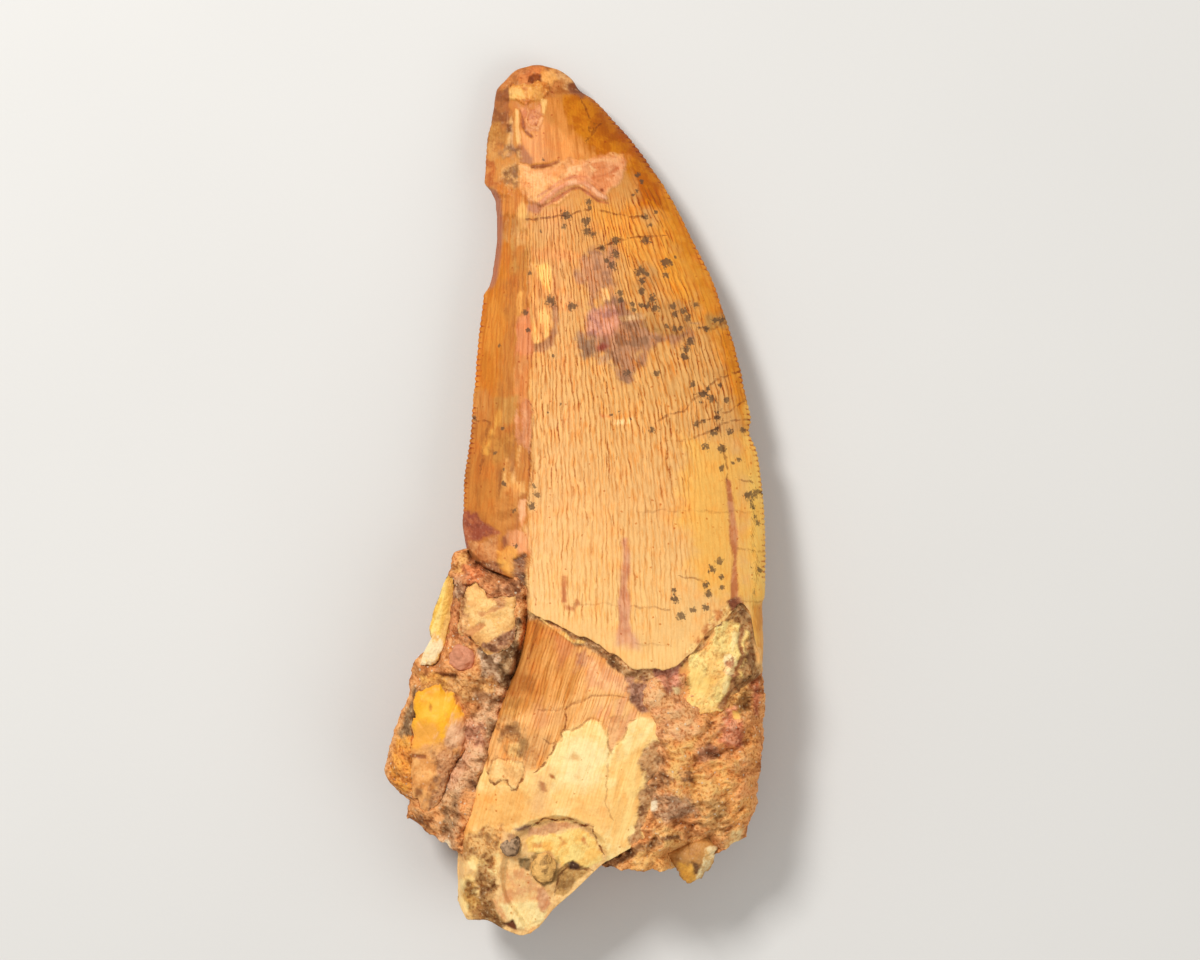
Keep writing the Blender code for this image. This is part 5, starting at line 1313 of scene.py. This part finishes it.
def sandstone():
    """The lumpy slab of sandstone round the root, with a coarse granular surface."""
    rings, marks = [], []
    for side, count, insets in MATRIX_FACES:
        places = columns(count, insets)
        top = on_line(MATRIX_TOP, places, matrix_left, matrix_right)
        end = on_line(MATRIX_END, places, matrix_left, matrix_right)
        run = places[0] + places[1] * SANDSTONE_RUN
        end = end + 0.24 * rough(run, 0, 0, 1.4, 5, 2.5, 0.65)
        down = np.linspace(0, 1, MATRIX_ROWS)[:, None]
        y = top * (1 - down) + end * down
        left, right = matrix_left(y), matrix_right(y)
        x = across(places, left, right)
        rock = Rock(
            middle=SANDSTONE_MIDDLE + 0.7 * lumps(x, y, 0, 5.0, 3.1),
            section=bulge((x - left) / (right - left), MATRIX_SECTION_POWER),
            lumpy=lumps(x, y, 0, 4.3, 7.7) + 0.6 * lumps(x, y, 0, 2.4, 1.3),
            clump=rough(x, y, 0, 1.35, 4, 2.9 + side, 0.6, True),
            beside=(x > tooth_left(y)) & (x < tooth_right(y)),
        )
        z, colour, grit = (rock_front if side > 0 else rock_back)(x, y, rock)
        rim = np.minimum(x - left, right - x)
        outward = np.where(x - left < right - x, -1, 1)
        x = x + outward * 0.28 * rough(x, y, z, 1.3, 4, 3.3, 0.55) * ramp(rim, 1.5, 0)
        rings.append(np.stack([x, y, z], -1))
        marks.append({"tint": lit(colour, ROCK_LIGHT, ROCK_LIMIT), "grit": grit})
    body = ringed(*rings)
    top = broken_end(body[0], -1, 2.0)[::-1]
    bottom = broken_end(body[-1], 1, 5.0)
    marks = carried(marks, len(top), len(bottom))
    end_tints(marks, bottom, MATRIX_BASE)
    return np.concatenate([top, body, bottom]), marks


def shard_face(name, x, y):
    """Height of a fragment's broken face: a plane, tilted about the outline's middle."""
    outline, height, tilt = SHARDS[name][:3]
    centre = np.mean(outline, 0)
    return height + (x - centre[0]) * tilt[0] + (y - centre[1]) * tilt[1]


def bedded(x, y, z, reach):
    """Sandstone banked up to each fragment's rim, creeping over it and sunk under its face."""
    creep = 0.24 * rough(x, y, 0, 1.0, 5, 7.0, 0.65)
    bank = 0.22 * rough(x, y, 0, 1.0, 4, 3.3) - 0.02
    for name, parts in SHARDS.items():
        face = shard_face(name, x, y)
        depth = inside(parts[0], x, y) + creep
        z = z + reach * ramp(depth, -BANK_REACH, -0.15) * (face + bank - z)
        z = z + ramp(depth, 0.0, 0.3) * (np.minimum(z, face - ROOM_DEPTH) - z)
    centre, radii = stone_centre("pink_nodule"), STONES["pink_nodule"][1]
    distance = from_centre(x, y, centre, radii) + 0.5 * creep
    under = centre[2] + radii[2] * np.sqrt(np.clip(1 - distance**2, 0, 1)) - 0.3
    z = z + ramp(distance, 1.6, 1.0) * (np.maximum(z, centre[2] + 0.45 + bank) - z)
    return z + ramp(distance, 0.95, 0.75) * (np.minimum(z, under) - z)


def shard(name):
    """A broken fragment: rings from under its middle, out to the rim and in over the face.

    The face is a low crown, 1 - size squared, with fine relief."""
    outline, _, _, thickness, crown_height, tone = SHARDS[name]
    corners = np.array(outline + outline[:1])
    run = np.concatenate([[0], np.cumsum(np.hypot(*np.diff(corners, axis=0).T))])
    at = np.linspace(0, run[-1], SHARD_POINTS, endpoint=False)
    rim = np.stack([np.interp(at, run, c) for c in corners.T], -1)
    centre = np.mean(outline, 0)
    rim = rim + 0.2 * rough(rim[:, :1], rim[:, 1:], 0, 1.0, 5, 1.0, 0.65) * (rim - centre) / 3
    sizes = np.concatenate([np.linspace(0.03, 0.8, SHARD_UNDER), np.linspace(0.82, 1.0, SHARD_WALL),
                            np.linspace(0.985, 0.02, SHARD_RINGS)])[:, None]
    wall_below = np.linspace(0.93, 0.04, SHARD_WALL) ** 1.2
    below = np.concatenate([np.ones(SHARD_UNDER), wall_below, np.zeros(SHARD_RINGS)])
    face = np.arange(len(sizes))[:, None] >= SHARD_UNDER + SHARD_WALL
    place = centre + (rim - centre) * sizes[..., None]
    x, y = place[..., 0], place[..., 1]
    base = np.broadcast_to(linear(*tone), x.shape + (3,))
    level = shard_face(name, x, y)
    colour, relief, grit = painted(FRAGMENT_PATCHES, base, x, y, level, x - 0.4 * y, FRAGMENT_GRIT)
    z = level - thickness * below[:, None]
    walls = 0.25 * rough(x, y, z, 0.9, 4, 2.0)
    z = z + face * (crown_height * (1 - sizes**2) ** 0.8 + relief + 0.07 * rough(x, y, 0, 1.1, 5, 3.0))
    z = z - face * 0.15 * ramp(sizes, 0.9, 1.0)
    out = place - centre
    out = out / np.maximum(np.linalg.norm(out, axis=-1, keepdims=True), 0.01)
    place = place + out * (walls * ((sizes > 0.7) & ~face))[..., None]
    wall = mottled(x, y, z, tone, tuple(0.82 * c for c in tone), 1.2, 2.0)
    # The walls get painted highlights where they bulge and painted shade where they sink.
    colour = np.where(face[..., None], colour, gap_shade_crest_highlight(wall, walls * 4, 0.35))
    points = np.concatenate([place, z[..., None]], -1)
    return points[::-1], {"tint": colour[::-1], "grit": grit[::-1]}


def stone(name):
    """A pebble: a sphere's rings from pole to pole, roughened and stretched to its radii."""
    _, radii, uneven = STONES[name]
    polar = np.linspace(0.03, np.pi - 0.03, STONE_RINGS)[:, None]
    turn = np.linspace(0, 2 * np.pi, STONE_POINTS, endpoint=False)
    x, y, z = np.sin(polar) * np.cos(turn), np.sin(polar) * np.sin(turn), np.cos(polar) + 0 * turn
    size = 1 + uneven * rough(x, y, z, 0.9, 3, radii[0]) + 0.05 * rough(x, y, z, 0.3, 3, 1.0)
    place = np.stack([x, y, z], -1) * size[..., None] * radii + stone_centre(name)
    # The mark grows down the stone's sides from its top; it darkens the stone there as painted shade.
    return place, {"cover_and_shade": ramp(z, 0.8, 0.3)}


def mesh_of(name, rings, marks, paint):
    """Closed mesh of a stack of rings with a flat cap at each end, and its marks as attributes.

    If the faces enclose a negative volume they point inwards and are turned round."""
    rows, count = rings.shape[:2]
    ids = np.arange(rows * count).reshape(rows, count)
    right = np.roll(ids, -1, 1)
    quads = np.stack([ids[:-1], ids[1:], right[1:], right[:-1]], -1).reshape(-1, 4)
    points = rings.reshape(-1, 3) * MM
    a, b, c, d = (points[quads[:, k]] for k in range(4))
    volume = np.einsum("ij,ij->", a, np.cross(b, c) + np.cross(c, d))
    if volume < 0:
        quads = quads[:, ::-1]
    caps = [ids[0].tolist(), ids[-1][::-1].tolist()]
    faces = quads.tolist() + [cap if volume > 0 else cap[::-1] for cap in caps]
    mesh = bpy.data.meshes.new(name)
    mesh.from_pydata(points, [], faces)
    for mark, values in marks.items():
        if values.ndim == 2:
            layer = mesh.attributes.new(mark, "FLOAT", "POINT")
            layer.data.foreach_set("value", values.astype(np.float32).ravel())
        elif mark == "tint":
            layer = mesh.attributes.new(mark, "FLOAT_COLOR", "POINT")
            whole = np.concatenate([values, np.ones(values.shape[:2] + (1,))], -1)
            layer.data.foreach_set("color", whole.astype(np.float32).ravel())
        else:
            layer = mesh.attributes.new(mark, "FLOAT_VECTOR", "POINT")
            layer.data.foreach_set("vector", values.astype(np.float32).ravel())
    mesh.shade_smooth()
    mesh.materials.append(paint)
    piece = bpy.data.objects.new(name, mesh)
    bpy.context.scene.collection.objects.link(piece)
    return piece


class Number:
    """A number socket that can be used in arithmetic; each operation adds a Math node."""

    def __init__(self, paint, socket):
        self.paint, self.socket = paint, socket

    def maths(self, operation, *values):
        made = self.paint.node("ShaderNodeMath", {"operation": operation}, dict(enumerate(values)))
        return Number(self.paint, made.outputs[0])

    def __add__(self, other):
        return self.maths("ADD", self, other)

    def __radd__(self, other):
        return self.maths("ADD", other, self)

    def __sub__(self, other):
        return self.maths("SUBTRACT", self, other)

    def __rsub__(self, other):
        return self.maths("SUBTRACT", other, self)

    def __mul__(self, other):
        return self.maths("MULTIPLY", self, other)

    def __rmul__(self, other):
        return self.maths("MULTIPLY", other, self)

    def __truediv__(self, other):
        return self.maths("DIVIDE", self, other)

    def __abs__(self):
        return self.maths("ABSOLUTE", self)

    def sine(self):
        return self.maths("SINE", self)

    def between(self, low, high):
        """0 below low, 1 above high and a smooth S between; falls instead if low > high."""
        if low > high:
            return 1 - self.between(high, low)
        made = self.paint.node(
            "ShaderNodeMapRange", {"interpolation_type": "SMOOTHSTEP"}, {0: self, 1: low, 2: high}
        )
        return Number(self.paint, made.outputs[0])


class Paint:
    """A material and the few ways its nodes are made."""

    def __init__(self, name, roughness, coat=0.0, shine=0.15):
        self.material = bpy.data.materials.new(name)
        self.material.use_nodes = True
        self.tree = self.material.node_tree
        self.shader = self.tree.nodes["Principled BSDF"]
        self.shader.inputs["Roughness"].default_value = roughness
        self.shader.inputs["Specular IOR Level"].default_value = shine
        self.shader.inputs["Coat Weight"].default_value = coat
        self.shader.inputs["Coat Roughness"].default_value = 0.25
        place = self.node("ShaderNodeTexCoord", {}, {}).outputs["Object"]
        self.place = self.scaled(place, (1 / MM,) * 3)

    def feed(self, value, socket):
        """Links a socket into another one, or sets it to a plain value."""
        if isinstance(value, Number):
            value = value.socket
        if isinstance(value, bpy.types.NodeSocket):
            self.tree.links.new(value, socket)
        else:
            socket.default_value = value

    def node(self, kind, settings, sockets):
        """A node of this type with its settings, and values or links for its sockets."""
        made = self.tree.nodes.new(kind)
        for setting, value in settings.items():
            setattr(made, setting, value)
        for key, value in sockets.items():
            self.feed(value, made.inputs[key])
        return made

    def scaled(self, vector, factors):
        """Vector times a factor for each axis."""
        sockets = {0: vector, 1: factors}
        return self.node("ShaderNodeVectorMath", {"operation": "MULTIPLY"}, sockets).outputs[0]

    def carried(self, name, output):
        """What the mesh carries under a name."""
        return self.node("ShaderNodeAttribute", {"attribute_name": name}, {}).outputs[output]

    def mark(self, name):
        """A number that the mesh carries."""
        return Number(self, self.carried(name, "Fac"))

    def noise(self, vector, scale, detail=2.0, distortion=0.0):
        """Cloudy noise, mostly between 0.3 and 0.7."""
        sockets = {"Vector": vector, "Scale": scale, "Detail": detail, "Distortion": distortion}
        return Number(self, self.node("ShaderNodeTexNoise", {}, sockets).outputs["Fac"])

    def drawn(self, vector, factors, detail=2.0):
        """Noise drawn out along the axes with the smaller factors."""
        return self.noise(self.scaled(vector, factors), 1.0, detail)

    def cells(self, vector, scale):
        """Random crystal cells: distance to a cell's middle, and a random number for each."""
        made = self.node("ShaderNodeTexVoronoi", {}, {"Vector": vector, "Scale": scale})
        split = self.node("ShaderNodeSeparateColor", {}, {0: made.outputs["Color"]})
        return Number(self, made.outputs["Distance"]), Number(self, split.outputs[0])

    def mix(self, first, second, share, blend="MIX"):
        """The first colour turning into the second as far as share says."""
        made = self.node("ShaderNodeMix", {"data_type": "RGBA", "blend_type": blend}, {})
        for value, socket in ((share, 0), (first, 6), (second, 7)):
            if isinstance(value, tuple):
                value = (*linear(*value), 1.0)
            self.feed(value, made.inputs[socket])
        return made.outputs[2]

    def shaded(self, colour, number):
        """Colour times a number."""
        sockets = {0: colour, "Scale": number}
        return self.node("ShaderNodeVectorMath", {"operation": "SCALE"}, sockets).outputs[0]

    def stained(self, colour, stain, share):
        """Colour times a stain's colour, as far as share says."""
        return self.mix(colour, stain, share, "MULTIPLY")

    def gritty(self, colour, amount):
        """Grains too small for the mesh: painted shade in their gaps and pale crystals on them, as far as
        amount says.
        """
        grain = self.noise(self.place, 3.2, 4.0)
        # Where the grains sink in they are darkened as painted shade.
        colour = self.stained(colour, (206, 168, 134), grain.between(0.50, 0.34) * amount)
        colour = self.mix(colour, (255, 224, 176), grain.between(0.58, 0.74) * amount * 0.5)
        return colour, grain

    def done(self, colour, height, depth, roughness=None):
        """Connects the colour, a bump of this depth in millimetres, and the roughness."""
        bump = self.node("ShaderNodeBump", {}, {"Height": height, "Distance": depth * MM})
        self.feed(self.shaded(colour, HEADROOM), self.shader.inputs["Base Color"])
        self.feed(bump.outputs[0], self.shader.inputs["Normal"])
        if roughness is not None:
            self.feed(roughness, self.shader.inputs["Roughness"])
        return self.material


def grooves(paint, grain, pitch, fine, cloud):
    """Fine wavy grooves that come and go, the painted highlight on the ridges beside them, and where
    grooves are long.

    A groove is the crest of a sine across the grain, its phase drifting with drawn out noise.
    Two such sets take turns along the grain, so that the grooves break off and start anew."""
    lane = Number(paint, paint.node("ShaderNodeSeparateXYZ", {}, {0: grain}).outputs[0])
    drift = paint.drawn(grain, (0.35, 0.13, 0.35))
    wobble = paint.drawn(grain, (1.4, 0.8, 1.4), 1.0)
    shiver = paint.drawn(grain, (3.0, 2.0, 3.0), 1.0)
    turns = paint.drawn(grain, (0.9, 0.2, 0.9)).between(0.48, 0.52)
    first = lane / pitch + drift * 1.8 + wobble * 0.7 + shiver * 0.25
    second = lane / (pitch * 0.86) + drift * 2.7 + wobble * 0.9 - shiver * 0.25
    wave = (first * (2 * math.pi)).sine() * turns + (second * (2 * math.pi)).sine() * (1 - turns)
    lengths = paint.drawn(grain, (1.8, 0.32, 1.8))
    depth = paint.mark("wrinkle") * (0.4 + lengths.between(0.36, 0.6) * 0.6) * (0.4 + cloud * 1.2)
    groove = (wave + (fine - 0.5) * 1.1).between(0.40, 1.15) * depth
    return groove, wave.between(0.2, -0.9) * depth, lengths.between(0.56, 0.70)


def toothpaint(name, roughness, coat, groove_pitch, groove_depth, groove_stain):
    """Enamel or dentine: the tint of each place with streaks, grooves, dots, spots and cracks."""
    paint = Paint(name, roughness, coat)
    grain, place = paint.carried("grain", "Vector"), paint.place
    fine = paint.noise(place, 5.0, 3.0)
    cloud = paint.noise(place, 0.5, 3.0)
    groove, ridge_highlight, longest = grooves(paint, grain, groove_pitch, fine, cloud)
    streaks = paint.drawn(grain, (5.5, 0.4, 5.5), 3.0)
    streaked = streaks.between(0.44, 0.70) * (0.3 + paint.mark("wrinkle") * 0.7)

    # Ridges beside the grooves are brightened: a painted highlight.
    colour = paint.shaded(paint.carried("tint", "Color"), 0.90 + cloud * 0.18 + ridge_highlight * 0.22)
    colour = paint.stained(colour, (255, 232, 206), cloud.between(0.48, 0.72) * 0.6)
    colour = paint.stained(colour, (246, 212, 160), streaked)
    colour = paint.stained(colour, groove_stain, groove)
    colour = paint.stained(colour, groove_stain, groove * longest)
    colour = paint.shaded(colour, 0.88 + fine * 0.24)
    dots, chance = paint.cells(place, 1.3)
    dot = (dots + (fine - 0.5) * 0.4).between(0.17, 0.08) * chance.between(0.62, 0.70)
    colour = paint.stained(colour, (222, 172, 124), dot * 0.8)
    colour, grit = paint.gritty(colour, paint.mark("grit"))

    blocks = paint.drawn(grain, (3.4, 2.2, 3.4))
    spot = paint.mark("spot") + (blocks - 0.5) * 1.1 + (fine - 0.5) * 1.1
    spot = spot.between(0.36, 0.68)
    colour = paint.mix(colour, (94, 70, 50), spot * (0.56 + cloud * 0.5))
    apart = abs(paint.mark("crack_side")) + (fine - 0.5) * 2.2
    crack = apart.between(1.5, 0.4) * paint.mark("crack_near").between(5.0, 3.0)
    crack = crack * paint.mark("crack_dark") * paint.noise(place, 1.6, 2.0).between(0.30, 0.58)
    colour = paint.stained(colour, (150, 100, 66), crack)
    notched = paint.mark("edge_notch").between(0.12, 0.55) * paint.mark("edge_rim")
    colour = paint.stained(colour, (196, 140, 92), notched)

    height = fine * 0.35 - groove * 0.8 - crack * 1.5 - streaks * 0.3
    height = height + grit * paint.mark("grit") * 2.5
    return paint.done(colour, height, groove_depth, roughness + (fine - 0.5) * 0.2 + spot * 0.3)


def groundpaint(name, roughness, coat, depth):
    """Sandstone and broken bone: the tint of each place, with grains finer than the mesh.

    A few of the cells are crystals, which are pale and stand up."""
    paint = Paint(name, roughness, coat)
    grit = paint.mark("grit")
    cloud = paint.noise(paint.place, 0.6, 4.0)
    fine = paint.noise(paint.place, 7.0, 3.0)
    edge, chance = paint.cells(paint.place, 2.4)
    light = 0.88 + (cloud - 0.5) * 0.4 + fine * 0.24
    colour, grain = paint.gritty(paint.shaded(paint.carried("tint", "Color"), light), grit)
    crystal = chance.between(0.86, 0.90) * (edge + (fine - 0.5) * 0.5).between(0.34, 0.2) * grit
    colour = paint.mix(colour, (250, 226, 192), crystal * 0.75)
    return paint.done(colour, (grain * 2.4 + crystal * 0.5) * grit + fine * 0.4, depth)


def pebblepaint(name, main, dark, scale, cover_and_shade):
    """A weather-worn stone: a dark mineral coat broken through to a lighter body.

    Painted shade darkens it towards its sides and underside.
    """
    paint = Paint(name, 0.6)
    place = paint.place
    blotch = paint.noise(place, scale, 4.0, 0.4)
    fine = paint.noise(place, 6.0, 3.0)
    # The dark share grows down the stone's sides: painted shade over the mineral coat's blotches.
    share = (blotch + paint.mark("cover_and_shade") * 0.14 + (fine - 0.5) * 0.3).between(*cover_and_shade)
    colour = paint.mix(main, dark, share)
    colour = paint.shaded(colour, 0.75 + fine * 0.5)
    return paint.done(colour, blotch * 1.5 + fine * 0.6, 0.1)


def add(name, rings, marks, paint, slot, node):
    """One visual piece, riding the only body in the place of a node."""
    piece = mesh_of(name, rings, marks, paint)
    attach(piece, "root")
    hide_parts(node)


def studio():
    """Pale floor, soft light from all round, and two soft lamps: upper left and lower right."""
    bpy.ops.mesh.primitive_plane_add(size=FLOOR_SIZE)
    floor = bpy.context.object
    floor.name = "floor"
    pale = Paint("floor_paper", 0.9)
    cloudy = pale.mix((228, 226, 222), (222, 220, 216), pale.noise(pale.place, 0.02))
    floor.data.materials.append(pale.done(cloudy, pale.noise(pale.place, 2.0), 0.01))
    world = bpy.data.worlds.new("studio")
    world.use_nodes = True
    sky = world.node_tree.nodes["Background"]
    sky.inputs["Color"].default_value = DAYLIGHT_COLOUR
    sky.inputs["Strength"].default_value = DAYLIGHT
    bpy.context.scene.world = world
    for name, place, size, power in LAMPS:
        lamp = bpy.data.lights.new(name, "AREA")
        lamp.size, lamp.energy = size, power
        holder = bpy.data.objects.new(name, lamp)
        bpy.context.scene.collection.objects.link(holder)
        holder.location = place
        aim = -holder.location.normalized()
        holder.rotation_euler = aim.to_track_quat("-Z", "Y").to_euler()
    bpy.context.scene.view_settings.view_transform = "Standard"


def camera():
    """Straight down on the plan: the sheet's middle fills the frame at the edges' height."""
    data = bpy.data.cameras.new("camera")
    data.lens, data.sensor_width = LENS, SENSOR
    holder = bpy.data.objects.new("camera", data)
    bpy.context.scene.collection.objects.link(holder)
    holder.location = (SHEET_MIDDLE[0] * MM, SHEET_MIDDLE[1] * MM, EYE_HEIGHT * MM)
    data.clip_start, data.clip_end = 0.01, 10
    bpy.context.scene.camera = holder


def build():
    """Every piece with its material: the tooth, its rock, the fragments and the stones."""
    enamel = toothpaint("enamel", roughness=0.5, coat=0.03, groove_pitch=0.56, groove_depth=0.045,
                        groove_stain=(212, 170, 112))
    dentine = toothpaint("dentine", roughness=0.65, coat=0.0, groove_pitch=0.36, groove_depth=0.04,
                         groove_stain=(204, 160, 116))
    rock = groundpaint("sandstone", roughness=0.85, coat=0.0, depth=0.16)
    amber = groundpaint("amber_bone", roughness=0.45, coat=0.05, depth=0.06)
    chip = groundpaint("chip_bone", roughness=0.55, coat=0.0, depth=0.08)
    olive = pebblepaint("olive_stone", (240, 186, 108), (154, 112, 62), 1.2, (0.50, 0.72))
    grey = pebblepaint("grey_stone", (190, 154, 118), (110, 86, 62), 1.7, (0.45, 0.68))
    pink = pebblepaint("pink_stone", (216, 144, 108), (184, 118, 84), 1.2, (0.5, 0.8))

    add("crown", *crown(), enamel, "enamel", "tooth")
    add("root", *root(), dentine, "enamel", "tooth")
    add("sandstone", *sandstone(), rock, "sandstone", "matrix")
    for name in ("bone_slab", "edge_sliver", "base_shard"):
        add("fine_" + name, *shard(name), amber, "amber_bone", name)
    add("fine_enamel_chip", *shard("enamel_chip"), chip, "cream_bone", "enamel_chip")
    for name, paint, slot in (("olive_pebble", olive, "pebble"), ("grey_pebble", grey, "pebble"),
                              ("pink_nodule", pink, "sandstone")):
        add("fine_" + name, *stone(name), paint, slot, name)


build()
studio()
camera()
